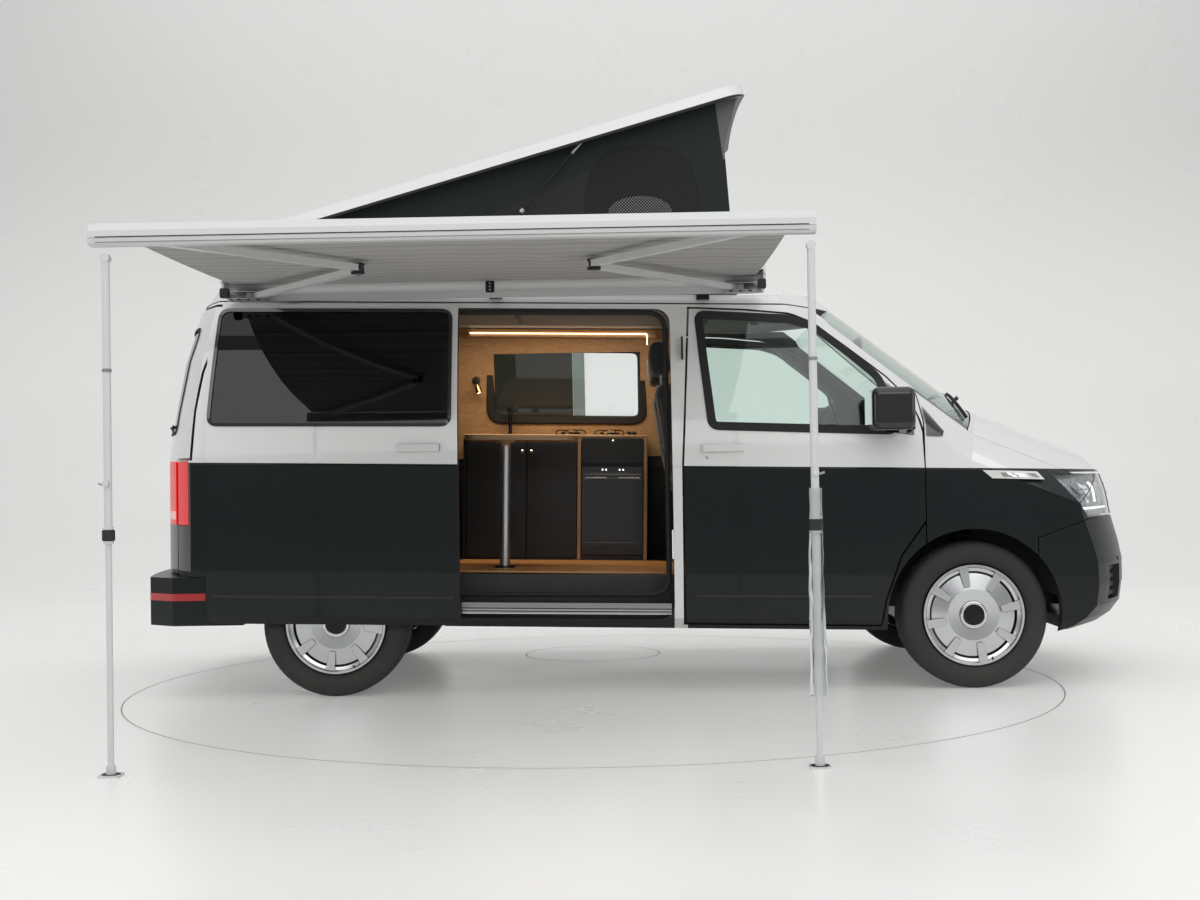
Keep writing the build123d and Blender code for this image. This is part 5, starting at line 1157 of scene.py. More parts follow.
for number, (root, tip) in enumerate([(0.52, -0.02), (-0.06, -0.58)]):
    t = np.linspace(0, 1, 16)
    blade = [on_screen(1.545 - 0.02 * sin(pi * s), root - 0.04 + (tip - root + 0.04) * s, 0.012) for s in t]
    piece(f"wiper_blade_{number}", swept(blade, flat_profile(0.012, 0.016), up=OFF_SCREEN), M["rubber"], "body")
    arm = [on_screen(1.600 - 0.05 * s, root + 0.03 + ((tip + root) / 2 - root - 0.03) * s,
                     0.022 + 0.010 * sin(pi * s)) for s in t]
    piece(f"wiper_arm_{number}", swept(arm, flat_profile(0.016, 0.006), up=OFF_SCREEN), M["black"], "body")
    disc_on(f"wiper_cap_{number}", on_screen(1.600, root + 0.03, 0.008), (0.5, 0, 0.85), 0.018, 0.020, "black", "body")
print("trim laid on the skin")

# %% [markdown]
# ## Kitchen, floor and lining
# The cabinet fronts get oak edges, knobs and a fridge door of their own; the worktop a hob with brass rings, a tap and
# a sunk basin. Boards run along the floor. A warm light strip crosses above the window.

# %% kitchen
FRONT_Y = 0.402  # the cabinets' front face
FRONTS = (  # name, x from and to, proud of the face and sunk behind it, z from and to, edge radius, finish, slot
    ("kitchen_edge_left", -0.414, -0.394, 0.004, 0.012, 0.548, 1.236, 0.003, "oak_upright", "oak"),
    ("kitchen_edge_right", -0.046, -0.026, 0.004, 0.012, 0.548, 1.236, 0.003, "oak_upright", "oak"),
    ("kitchen_edge_top", -1.035, -0.024, 0.004, 0.010, 1.226, 1.240, 0.003, "oak", "oak"),
    ("fridge_door", -0.390, -0.050, 0.012, 0.006, 0.575, 1.066, 0.006, "fridge", "cabinet"),
    ("fridge_band", -0.380, -0.060, 0.016, -0.008, 0.990, 1.030, 0.004, "black_gloss", "cabinet"),
    ("fridge_grip_0", -0.370, -0.250, 0.019, -0.010, 1.000, 1.006, 0.002, "steel", "steel"),
    ("fridge_grip_1", -0.190, -0.070, 0.019, -0.010, 1.000, 1.006, 0.002, "steel", "steel"),
    ("fridge_foot_line", -0.378, -0.062, 0.015, -0.010, 0.640, 0.646, 0.002, "black_gloss", "cabinet"),
    ("drawer_front", -0.390, -0.050, 0.007, 0.004, 1.082, 1.222, 0.004, "cabinet", "cabinet"),
    ("cupboard_front_left", -1.030, -0.700, 0.006, 0.004, 0.560, 1.222, 0.004, "cabinet", "cabinet"),
    ("cupboard_front_right", -0.694, -0.418, 0.006, 0.004, 0.560, 1.222, 0.004, "cabinet", "cabinet"),
)
for name, x_low, x_high, proud, sunk, z_low, z_high, radius, mat, slot in FRONTS:
    box_piece(name, (x_low, FRONT_Y - proud, z_low), (x_high, FRONT_Y + sunk, z_high), radius, mat)
for number, (x, z) in enumerate([(-0.722, 1.146), (-0.672, 1.146), (-0.216, 1.205)]):
    disc_on(f"knob_{number}", body_point(x, FRONT_Y - 0.005, z), (0, -1, 0), 0.008, 0.013, "chrome", "body")
for number, x in enumerate((-0.275, -0.255, -0.18, -0.16)):
    disc_on(f"fridge_light_{number}", body_point(x, FRONT_Y - 0.012, 1.048), (0, -1, 0), 0.004, 0.002, "step_light",
            "body")

# %% [markdown]
# ## Hob, basin and tap
# The hob is two glass plates with brass burners under wire rests. The basin is drawn as rings of a rounded rectangle
# that shrink as they go down. The tap is a round bar bent over it.

# %% hob, basin and tap
TOP_Z = 1.2425  # worktop's upper face in the body's frame
for number, x in enumerate((-0.46, -0.24)):
    spot = body_point(x, 0.60, TOP_Z)
    disc_on(f"hob_plate_{number}", spot, (0.02, 0, 1), 0.098, 0.006, "black_gloss", "body", dome=0.1)
    ring = turned([(0.052, 0.004), (0.058, 0.016), (0.050, 0.018), (0.044, 0.004)], spot, (0.02, 0, 1), 40)
    piece(f"hob_ring_{number}", ring, M["brass"], "body")
    arms = []
    for k in range(4):
        a = k * pi / 2 + 0.4
        path = [spot + np.array([cos(a) * r, sin(a) * r, z])
                for r, z in ((0.090, 0.006), (0.086, 0.028), (0.030, 0.030))]
        arms.append(tube(chaikin(path, 2), 0.0035, 6))
    piece(f"hob_rest_{number}", join(*arms), M["dark_steel"], "body")
for number, x in enumerate((-0.13, -0.10)):
    disc_on(f"hob_knob_{number}", body_point(x, 0.50, TOP_Z), (0, 0, 1), 0.014, 0.022, "black", "body")
BASIN_X, BASIN_Y = -0.82, 0.64
basin_low, basin_top = 1.130, TOP_Z + 0.002
walls = []
for shrink, z in ((1.06, basin_top), (1.0, basin_top), (0.97, 1.20), (0.93, 1.15), (0.6, basin_low), (0.02, basin_low)):
    ring = rounded(np.array([(-0.16, -0.13), (0.16, -0.13), (0.16, 0.13), (-0.16, 0.13)]) * shrink, 0.05 * shrink, 7)
    walls.append(in_body(np.column_stack([ring[:, 0] + BASIN_X, ring[:, 1] + BASIN_Y, np.full(len(ring), z)])))
walls = np.array(walls)
basin = walls.reshape(-1, 3), grid_quads(len(walls), walls.shape[1], close_columns=True)
piece("sink_basin", basin, M["steel"], "body")
tap_side = ((0.80, 0.0), (0.80, 0.15), (0.76, 0.175), (0.68, 0.16), (0.675, 0.13))  # y, height above the worktop
tap = chaikin([(BASIN_X, y, TOP_Z + rise) for y, rise in tap_side], 3)
piece("tap", tube(in_body(tap), 0.011, 14), M["black_gloss"], "body")
disc_on("tap_foot", body_point(BASIN_X, 0.80, TOP_Z), (0, 0, 1), 0.024, 0.012, "black_gloss", "body")

# %% [markdown]
# ## Floor, light strip, far window and reading lamp
# Boards with rounded edges lie along the floor, and their gaps catch the light as real ones do. A warm strip runs
# above the window and turns down at its end. The far window shows a slim frame with one dark sash and one pale one.

# %% floor boards, light strip, far window and reading lamp
FLOOR_TOP = 0.537
boards = [rounded_box((-1.05, y, FLOOR_TOP - 0.001), (0.115, min(y + 0.118, 0.400), FLOOR_TOP + 0.009), 0.0025, 3)
          for y in np.arange(-0.575, 0.40, 0.12)]
points, faces = join(*boards)
piece("floor_boards", (in_body(points), faces), M["floor"], "body")
box_piece("floor_nosing", (-1.05, -0.590, FLOOR_TOP - 0.040), (0.115, -0.576, FLOOR_TOP + 0.008), 0.005, "floor")
disc_on("table_foot", body_point(TABLE_POST_X, -0.350, FLOOR_TOP + 0.008), (0, 0, 1), 0.052, 0.014, "dark_steel",
        "body")
strip = [body_point(x, 0.600, 1.821) for x in np.linspace(-1.04, -0.035, 24)]
strip += [body_point(-0.03, 0.600, z) for z in np.linspace(1.812, 1.760, 6)]
piece("light_strip", swept(strip, flat_profile(0.005, 0.006), up=(0, 1, 0)), M["led"], "body")
box_piece("light_rail", (-1.05, 0.606, 1.800), (0.02, 0.640, 1.842), 0.006, "oak")
lining_skin = Skin("wall_lining")


def on_lining(x, z, out):
    """Point on the far wall's lining at x and z, moved out into the cabin."""
    p = lining_skin.hit((x, 0.0, z), (0, 1, 0), (x, 0.872, z))
    return np.array([x, min(max(p[1], 0.80), 0.90) - out, z])


FAR_WINDOW = [(-0.905, 1.775), (-0.020, 1.752), (-0.020, 1.338), (-0.905, 1.360)]
frame_path = resample(rounded(FAR_WINDOW, 0.06), 0.02, closed=True)
low_y, high_y = (on_lining(-0.975, z, 0.0)[1] for z in (1.30, 1.75))
frame_y = np.interp(frame_path[:, 1], [1.30, 1.75], [low_y, high_y]) - 0.004
frame_path = np.stack([frame_path[:, 0], frame_y, frame_path[:, 1]], 1)
frame_bar = [(-0.022, -0.010), (0.022, -0.010), (0.026, 0.0), (0.018, 0.012), (-0.018, 0.012), (-0.026, 0.0)]
piece("far_window_frame", swept(frame_path, frame_bar, closed=True, up=(0, -1, 0)), M["black"], "body")
SASHES = (("far_sash_left", -0.890, -0.424, "sash_dark"), ("far_sash_stile", -0.423, -0.354, "sash_glass"))
for name, low, high, mat in SASHES:
    grid = np.array([[(x, 0.868 - max(0.0, z - 1.3) * 0.17, z - 0.025 * (x + 0.46)) for x in (low, high)]
                     for z in (1.372, 1.755)])
    piece(name, slab(grid, (0, 0.004, 0)), M[mat], "body")
disc_on("reading_lamp_foot", on_lining(-0.985, 1.585, 0.0), (0, -1, 0), 0.024, 0.012, "black", "body")
lamp_line = [on_lining(-0.985, 1.585, 0.010), on_lining(-0.983, 1.578, 0.040), on_lining(-0.972, 1.540, 0.052)]
piece("reading_lamp_neck", tube(chaikin(lamp_line, 2), 0.006, 8), M["black"], "body")
head = turned([(0.001, 0.0), (0.016, 0.0), (0.019, 0.014), (0.019, 0.050), (0.015, 0.050), (0.012, 0.030), (0.001, 0.028)],
              on_lining(-0.978, 1.558, 0.050), (0.25, -0.1, -1), 24)
piece("reading_lamp_head", head, M["brass"], "body")
disc_on("reading_lamp_light", on_lining(-0.967, 1.514, 0.055), (0.25, -0.1, -1), 0.011, 0.004, "led", "body")
print(len(boards), "floor boards laid")

# %% [markdown]
# ## In the cab
# Dials under a hood, a screen, vents, a lever, a mirror and belts show through the door glass and the windscreen.
# Plain rounded boxes are enough for them, because they are dark and seen at a distance.

# %% cab details
for name, low, high, radius, mat in (
    ("dial_hood", (1.100, 0.230, 1.245), (1.290, 0.570, 1.300), 0.024, "dash"),
    ("dial_glass", (1.092, 0.262, 1.252), (1.103, 0.538, 1.288), 0.004, "black_gloss"),
    ("screen_surround", (1.012, -0.160, 1.085), (1.052, 0.130, 1.215), 0.010, "dash"),
    ("screen_glass", (1.005, -0.130, 1.105), (1.014, 0.100, 1.200), 0.003, "black_gloss"),
    ("lever_box", (1.030, -0.110, 0.925), (1.130, 0.080, 1.030), 0.022, "dash"),
):
    box_piece(name, low, high, radius, mat)
for number, y in enumerate((-0.72, -0.25, 0.20, 0.72)):
    frame_ring = rounded_box((1.008, y - 0.052, 1.150), (1.030, y + 0.052, 1.210), 0.008, 4)
    slats = [rounded_box((1.001, y - 0.044, z), (1.014, y + 0.044, z + 0.004), 0.0015, 2)
             for z in (1.160, 1.172, 1.184, 1.196)]
    points, faces = join(frame_ring, *slats)
    piece(f"vent_{number}", (in_body(points), faces), M["black"], "body")
lever = in_body(chaikin([(1.045, -0.02, 0.985), (0.975, -0.02, 1.020), (0.955, -0.02, 1.060)], 2))
piece("gear_lever", tube(lever, 0.009, 10), M["dark_steel"], "body")
knob = turned([(0.001, -0.022), (0.014, -0.018), (0.021, 0.0), (0.018, 0.016), (0.001, 0.022)], lever[-1],
              (-0.3, 0, 1), 20)
piece("gear_knob", knob, M["black"], "body")
mirror = rounded_box((1.065, -0.115, 1.690), (1.090, 0.115, 1.755), 0.011, 5)
piece("room_mirror", (in_body(mirror[0]), mirror[1]), M["black"], "body")
for side, hand in HANDS:
    belt = chaikin([(0.160, side * 0.800, 1.520), (0.130, side * 0.790, 1.300), (0.120, side * 0.780, 1.000),
                    (0.130, side * 0.770, 0.700)], 3)
    piece(f"belt_{hand}", swept(belt, flat_profile(0.046, 0.0015), up=(0.2, side, 0)), M["belt"], "body")
    disc_on(f"belt_guide_{hand}", belt[0] + [0, 0, 0.01], (0, -side, 0), 0.028, 0.016, "black", "body")

# %% [markdown]
# ## Cushions
# A cushion is its side view carried across its width. Towards each end it draws in as a rounded block does, and a
# simulation blows it up a little as cloth. The seams are pressed in afterwards, so they stay sharp.


# %% cushion maker
def settle(points, faces, cap, pressure=3.5, frames=12):
    """The shape as cloth, swollen by pressure without gravity; no point goes further than the cap."""
    mesh = mesh_of("settling", (points, faces))
    obj = in_scene("settling", mesh)
    settings = obj.modifiers.new("cloth", "CLOTH").settings
    settings.use_pressure, settings.uniform_pressure_force, settings.quality = True, pressure, 4
    settings.effector_weights.gravity = 0.0
    settings.tension_stiffness = settings.compression_stiffness = 25.0
    for frame_number in range(1, frames + 1):
        bpy.context.scene.frame_set(frame_number)
    evaluated = obj.evaluated_get(bpy.context.evaluated_depsgraph_get())
    flat = np.empty(len(points) * 3)
    evaluated.data.vertices.foreach_get("co", flat)
    move = flat.reshape(-1, 3) - points
    move -= move.mean(0)
    length = np.linalg.norm(move, axis=1, keepdims=True)
    move *= np.minimum(1.0, cap / np.maximum(length, 1e-9))
    bpy.data.objects.remove(obj)
    bpy.data.meshes.remove(mesh)
    bpy.context.scene.frame_set(1)
    return points + move


SEAM_HALF, SEAM_DEPTH = 0.006, 0.006
OUTLINE_STEP = 0.012


def cushion(name, outline, y, half, radius, across=(), along=(), crown=0.010, cap=0.008, mat="seat", node=None,
            rows=45):
    """Side outline (x, z) swept over y, drawn in at each end by a share that falls as the root of 1 - s ** 14.

    across: seams at shares of the half width; along: seams at shares round the outline.
    """
    shape = resample(rounded(outline, radius), OUTLINE_STEP, closed=True)
    middle = shape.mean(0)
    angle = np.linspace(-pi / 2, pi / 2, rows)
    s = np.sin(angle)
    draw = np.maximum((1 - np.abs(s) ** 14) ** 0.5, 0.04)
    inset = 1 - np.minimum(1, radius * 1.1 / np.abs(shape - middle).max()) * (1 - draw)
    edge_fall = np.where(np.abs(s) > 0.9999, 0.35, 1.0)
    share = (inset * edge_fall)[:, None, None]
    flat = middle + (shape - middle)[None] * share
    outward = unit(shape - middle)[None]
    flat = flat + outward * (crown * (1 - s**2))[:, None, None]
    ys = y + half * (s - 0.02 * np.sin(pi * s))
    grid = np.concatenate([flat[..., :1], np.broadcast_to(ys[:, None, None], flat[..., :1].shape), flat[..., 1:]], -1)
    n, m = grid.shape[:2]
    faces = [list(f) for f in grid_quads(n, m, close_columns=True)]
    faces += [list(range(m))[::-1], list(range((n - 1) * m, n * m))]
    points = settle(grid.reshape(-1, 3), faces, cap).reshape(n, m, 3)
    ring = np.arange(m) / m
    groove = np.zeros((n, m))
    for place in across:
        groove = np.maximum(groove, np.exp(-(((s - place) * half / SEAM_HALF) ** 2))[:, None] * np.ones(m))
    for place in along:
        away = np.minimum(np.abs(ring - place), 1 - np.abs(ring - place)) * m * OUTLINE_STEP
        groove = np.maximum(groove, np.exp(-((away / SEAM_HALF) ** 2))[None] * (np.abs(s) < 0.96)[:, None])
    centre = points.mean(1, keepdims=True)
    points = points - unit(points - centre) * (groove * SEAM_DEPTH)[..., None]
    uv = np.stack(np.broadcast_arrays(ring[None] * m * OUTLINE_STEP, ys[:, None]), -1).reshape(-1, 2)
    shape = in_body(points.reshape(-1, 3)), faces
    obj = piece(name, shape, M[mat], "body", uv=uv, node=node)


# %% [markdown]
# ## Seats, bench and bed
# Each cushion is a side view with its own seams: cab seats with a piping line near each edge, a bench in two halves,
# and two mattresses on the upper bed. They are padded pieces, so each takes the place of its plain solid.

# %% seats, bench and bed
for side, hand in HANDS:
    seat_y = side * 0.430
    base = [(0.125, 0.812), (0.655, 0.826), (0.672, 0.938), (0.40, 0.925), (0.225, 0.922), (0.130, 0.930)]
    back = [(0.206, 0.915), (0.112, 0.915), (0.060, 1.15), (0.002, 1.462), (0.062, 1.474), (0.130, 1.20)]
    head = [(-0.018, 1.520), (-0.028, 1.672), (0.045, 1.682), (0.072, 1.528)]
    arm = [(0.150, 1.120), (0.440, 1.135), (0.445, 1.180), (0.150, 1.175)]
    cushion(f"cab_seat_cushion_{hand}", base, seat_y, 0.236, 0.050, across=(-0.58, 0.58), along=(0.62,),
            node="cab_seats")
    cushion(f"cab_seat_back_{hand}", back, seat_y, 0.230, 0.040, across=(-0.60, 0.60), along=(0.30, 0.82),
            node="cab_seats")
    cushion(f"cab_headrest_{hand}", head, seat_y, 0.122, 0.030, node="cab_seats", rows=31)
    posts = [tube([body_point(0.028, seat_y + dy, 1.46), body_point(0.024, seat_y + dy, 1.54)], 0.006)
             for dy in (-0.06, 0.06)]
    piece(f"headrest_posts_{hand}", join(*posts), M["steel"], "body")
    cushion(f"armrest_{hand}", arm, seat_y - side * 0.262, 0.026, 0.018, node="cab_seats", rows=21, cap=0.003,
            crown=0.002)
for number, y in enumerate((-0.465, 0.085)):
    for name, outline in (("cushion", [(-1.690, 0.852), (-1.145, 0.852), (-1.140, 0.950), (-1.690, 0.940)]),
                          ("back", [(-1.648, 0.975), (-1.732, 1.470), (-1.650, 1.488), (-1.545, 0.975)])):
        cushion(f"bench_{name}_{number}", outline, y, 0.262, 0.035, across=(-0.5, 0.5), mat="trim_cloth",
                node="bench_cushions")
for number, (low, high) in enumerate([(-1.740, -0.745), (-0.735, 0.280)]):
    cushion(f"mattress_{number}", [(low, 1.860), (high, 1.860), (high, 1.912), (low, 1.912)], 0.0, 0.500, 0.022,
            mat="mattress", node="roof_bed", cap=0.004, crown=0.0, rows=39)
print("cushions made")

# %% [markdown]
# ## Canvas under the roof
# The canvas is one closed band of cloth. Its lower hem goes straight round the roof opening, its upper hem follows the
# sloping shell, and the front edge bows back between them. Slight folds run where the cloth is taut between its hems.


# %% roof canvas
def rim_height(x):
    """Height of the raised shell's lower edge."""
    return RIM_POINT[1] + (x - RIM_POINT[0]) * tan(RISE)


HALF = 0.648  # from the middle to a side wall
HEM_Z = 1.895  # height of the lower hem
FRONT_EDGE = [(HEM_Z, 0.436), (1.935, 0.434), (2.62, 0.386), (2.85, 0.448)]  # height, x
REAR_FOOT_X, REAR_TOP_X = -2.060, -2.100


def canvas_point(r, s):
    """Share r up from the lower hem and s forward from the rear: x, z on a side wall."""
    top_x = REAR_TOP_X + s * (FRONT_EDGE[-1][1] - REAR_TOP_X)
    low_x = REAR_FOOT_X + s * (FRONT_EDGE[0][1] - REAR_FOOT_X)
    z = HEM_Z + r * (rim_height(top_x) + 0.018 - HEM_Z)
    x = low_x + r * (top_x - low_x)
    bow = np.interp(z, *zip(*FRONT_EDGE)) - (FRONT_EDGE[0][1] + r * (FRONT_EDGE[-1][1] - FRONT_EDGE[0][1]))
    return x + bow * s**5, z


rows = np.linspace(0, 1, 40)[:, None]
side_s, across_s = np.linspace(0, 1, 90)[None, :], np.linspace(-1, 1, 36)[None, 1:-1]
side_x, side_z = canvas_point(rows, side_s)
folds = 0.0035 * np.sin(16 * pi * side_s + 5 * rows) * np.sin(pi * rows)
folds = folds + 0.004 * np.sin(46 * side_s) * rows**3 * (1 - rows)
side_y = HALF - 0.010 * np.sin(pi * rows) * np.sin(pi * side_s) + folds * np.sin(pi * side_s)
end_x, end_z = canvas_point(rows, np.array([[1.0]]))
back_x, back_z = canvas_point(rows, np.array([[0.0]]))
front = [end_x - 0.012 * np.sin(pi * rows) * (1 - across_s**2), HALF * across_s + 0 * rows, end_z + 0 * across_s]
rear = [back_x + 0.004 * np.sin(9 * across_s) * np.sin(pi * rows), -HALF * across_s + 0 * rows, back_z + 0 * across_s]
canvas_grid = np.concatenate([
    together(side_x, -side_y, side_z), together(*front), together(side_x, side_y, side_z)[:, ::-1], together(*rear)
], 1)
canvas_uv = np.concatenate([
    together(side_x, side_z), together(2.0 + HALF * across_s, end_z),
    together(side_x, side_z)[:, ::-1], together(-4.0 + HALF * across_s, back_z),
], 1)
canvas_shape = canvas_grid.reshape(-1, 3), grid_quads(*canvas_grid.shape[:2], close_columns=True)


def canvas_finish():
    """Dark green cloth; by its own coordinates, a charcoal window, its mesh vent, a rolled flap and a pale gusset."""
    mat, tree, shader, uv, tint = cloth("roof_cloth", (0.009, 0.017, 0.0155), (0.005, 0.010, 0.009), threads=1500.0)
    split = put(tree, "SeparateXYZ", {0: uv}).outputs
    x, z = split["X"], split["Y"]

    def share(place, middle, half, power):
        across = maths(tree, "DIVIDE", maths(tree, "SUBTRACT", place, middle), half)
        return maths(tree, "POWER", maths(tree, "ABSOLUTE", across), power)

    def oval(cx, cz, rx, rz, power):
        """|dx / rx| ** power + |dz / rz| ** power, which is 1 on the oval's edge."""
        return maths(tree, "ADD", share(x, cx, rx, power), share(z, cz, rz, power))

    window = oval(-0.02, 2.2, 0.285, 0.43, 3.0)
    inside = maths(tree, "LESS_THAN", window, 1.0)
    seam = maths(tree, "LESS_THAN", maths(tree, "ABSOLUTE", maths(tree, "SUBTRACT", window, 1.0)), 0.045)
    slope = maths(tree, "MULTIPLY_ADD", x, 0.433, 2.52 + 0.271 * 0.433)  # the roll hangs from this line
    flap = all_of(tree, maths(tree, "LESS_THAN", z, slope), maths(tree, "LESS_THAN", x, -0.271),
                  maths(tree, "GREATER_THAN", x, -0.85))
    vent = maths(tree, "LESS_THAN", oval(-0.03, 2.31, 0.155, 0.078, 2.0), 1.0)
    holes = maths(tree, "MULTIPLY", maths(tree, "SINE", maths(tree, "MULTIPLY", x, 419.0)),
                  maths(tree, "SINE", maths(tree, "MULTIPLY", z, 419.0)))
    net = band(tree, holes, 0.15, 0.45)
    tint = mix_colour(tree, maths(tree, "MULTIPLY", flap, 0.7), tint, (0.020, 0.018, 0.0165, 1))
    tint = mix_colour(tree, inside, tint, (0.0075, 0.0075, 0.008, 1))
    tint = mix_colour(tree, maths(tree, "MULTIPLY", vent, net), tint, (0.24, 0.25, 0.25, 1))
    tint = mix_colour(tree, maths(tree, "MULTIPLY", seam, 0.8), tint, (0.004, 0.004, 0.004, 1))
    edge = maths(tree, "ADD", x, maths(tree, "MULTIPLY", maths(tree, "SUBTRACT", z, 2.819), 0.126))
    gusset = maths(tree, "MULTIPLY", maths(tree, "GREATER_THAN", edge, 0.347), maths(tree, "GREATER_THAN", z, 2.56))
    near_side = maths(tree, "LESS_THAN", x, 1.0)
    tint = mix_colour(tree, maths(tree, "MULTIPLY", gusset, near_side), tint, (0.13, 0.135, 0.14, 1))
    tree.links.new(tint, shader.inputs["Base Color"])
    return mat


canvas = piece("canvas_walls", canvas_shape, canvas_finish(), "body", uv=canvas_uv.reshape(-1, 2),
               node="roof_canvas")
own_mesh(canvas)


def roof_point(along, y, above):
    """Point of the raised shell's own frame: along its slope, across, and square to it."""
    x, z = along * cos(RISE) - above * sin(RISE), along * sin(RISE) + above * cos(RISE)
    return np.array([ROOF_REAR + x, y, ROOF_FOOT_Z + z])


# %% [markdown]
# ## Strut ends and the roof's strap
# A gas strut ends in a bright head and turns on a bolt, with a collar where its rod comes out. The head rides the rod
# and the rest the cylinder. A loop of belt hangs from the shell, to pull it shut with.

# %% strut ends and strap
for side, hand in HANDS:
    foot, head = np.array([-0.938, side * 0.680, 1.945]), np.array([-0.2995, side * 0.680, 2.6634])
    ahead_of = unit(head - foot)
    collar = foot + ahead_of * 0.500
    ring = turned([(0.0125, -0.012), (0.0150, -0.010), (0.0150, 0.010), (0.0125, 0.012)], collar, ahead_of, 24)
    piece(f"strut_collar_{hand}", ring, M["steel"], "strut_cylinders")
    disc_on(f"strut_bolt_{hand}", foot + [0, side * 0.012, 0], (0, side, 0), 0.010, 0.006, "dark_steel", "strut_cylinders")
    piece(f"strut_head_{hand}", tube([head - ahead_of * 0.090, head - ahead_of * 0.015], 0.0085, 14), M["steel"],
          "strut_rods")
grip = [roof_point(2.60, y, 0.030 - 0.026 * (1 - (y / 0.10) ** 2)) for y in np.linspace(-0.10, 0.10, 14)]
piece("roof_strap", swept(grip, flat_profile(0.030, 0.003), up=(-sin(RISE), 0, cos(RISE))), M["belt"], "roof")
print("struts and strap fitted")

# %% [markdown]
# ## Awning
# The cloth is a long sheet rolled off its tube. It hangs a centimetre between the case and the rail, with faint waves
# from the roller. Its stripes run along the van. Metal joints, brackets and caps go on the case, arms and legs.

# %% awning cloth and joints
FABRIC_BACK, FABRIC_FRONT, FABRIC_LEFT, FABRIC_RIGHT = (-0.926, 1.950), (-2.7985, 1.934), -1.958, 0.503
t, s = np.linspace(0, 1, 90)[:, None], np.linspace(0, 1, 110)[None, :]
cloth_y = FABRIC_BACK[0] + (FABRIC_FRONT[0] - FABRIC_BACK[0]) * t
cloth_x = FABRIC_LEFT + (FABRIC_RIGHT - FABRIC_LEFT) * s
waves = (0.0016 * np.sin(2 * pi * s * 9 + 2 * t) + 0.0022 * np.sin(2 * pi * s * 2.5 + 1)) * np.sin(pi * t)
cloth_z = FABRIC_BACK[1] + (FABRIC_FRONT[1] - FABRIC_BACK[1]) * t - 0.011 * np.sin(pi * t) + waves
cloth_uv = together(cloth_x, cloth_y).reshape(-1, 2)
cloth_shape = together(cloth_x, cloth_y, cloth_z).reshape(-1, 3), grid_quads(t.size, s.size)
awning = piece("awning_cloth", cloth_shape, M["awning"], "body", uv=cloth_uv,
               node="awning_fabric")
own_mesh(awning)

# %% [markdown]
# ## Arms, case and rail
# The arms turn between plates bolted under the case, and their elbows have a dark cap above and below. Fittings on
# the case stay behind the place where the rail closes. Two fine lines run along the rail's face.

# %% joints, case and rail
CLOSED_RAIL = -1.0270  # y that fittings on the case stay behind, so the rail can close
CAP_ENDS = {"rear": (-0.125, -0.085), "front": (0.078, 0.116)}  # each case cap's x from its shoulder
for end, (x, y) in SHOULDERS.items():
    for z, thick in ((1.908, 0.005), (1.8755, 0.005)):
        points, faces = rounded_box((x - 0.075, y - 0.062, z), (x + 0.075, y + 0.100, z + thick), 0.0024, 3)
        piece(f"shoulder_plate_{end}_{'top' if z > 1.9 else 'low'}", (points, faces), M["steel"], "body")
    for k, dx in enumerate((-0.045, 0.0, 0.045)):
        disc_on(f"shoulder_bolt_{end}_{k}", (x + dx, y - 0.040, 1.8755), (0, 0, -1), 0.009, 0.005, "dark_steel",
                "body")
    low, high = CAP_ENDS[end]
    points, faces = rounded_box((x + low, -1.0425, 1.8795), (x + high, -0.985, 1.925), 0.006, 4)
    points[:, 1] = np.maximum(points[:, 1], CLOSED_RAIL)
    piece(f"case_cap_{end}", (points, faces), M["dark_steel"], "body")
for end, (x, y) in ELBOWS.items():
    for z, axis in ((1.907, 1), (1.881, -1)):
        disc_on(f"elbow_cap_{end}_{'top' if axis > 0 else 'low'}", (x, y, z), (0, 0, axis), 0.0285, 0.010, "black",
                f"arm_inner_{end}", dome=0.15)
    bolt = turned([(0.001, 0), (0.010, 0), (0.010, 0.006), (0.001, 0.006)], (x, y, 1.871), (0, 0, -1), 6)
    piece(f"elbow_bolt_{end}", bolt, M["steel"], f"arm_inner_{end}")
rail_face, rail_xs = Skin("awning_rail"), np.linspace(-1.960, 0.532, 30)
RAIL_LINES = (("rail_line_low", 1.8655, 1.8685, "coat_grey"), ("rail_line_mid", 1.8835, 1.8870, "dark_steel"))
for name, z_low, z_high, mat in RAIL_LINES:
    grid = np.array([[rail_face.hit((x, -4, z), (0, 1, 0), (x, -2.863, z)) + [0, -0.0008, 0] for x in rail_xs]
                     for z in (z_low, z_high)])
    piece(name, slab(grid, (0, 0.003, 0)), M[mat], "awning_rail")
points, faces = rounded_box((-0.760, CLOSED_RAIL, 1.884), (-0.718, -1.000, 1.938), 0.004, 4)
piece("centre_bracket", (points, faces), M["dark_steel"], "body")
for k, z in enumerate((1.896, 1.911, 1.926)):
    disc_on(f"centre_screw_{k}", (-0.739, CLOSED_RAIL + 0.0006, z), (0, -1, 0), 0.005, 0.001, "steel", "body")

# %% [markdown]
# ## The legs
# Each leg is clamped by a black collar, has a small stem beside it and stands on a round pad. The front leg still
# wears its clear plastic sleeve: a wide, wavy tube of thin sheet that hangs from the leg's tube.

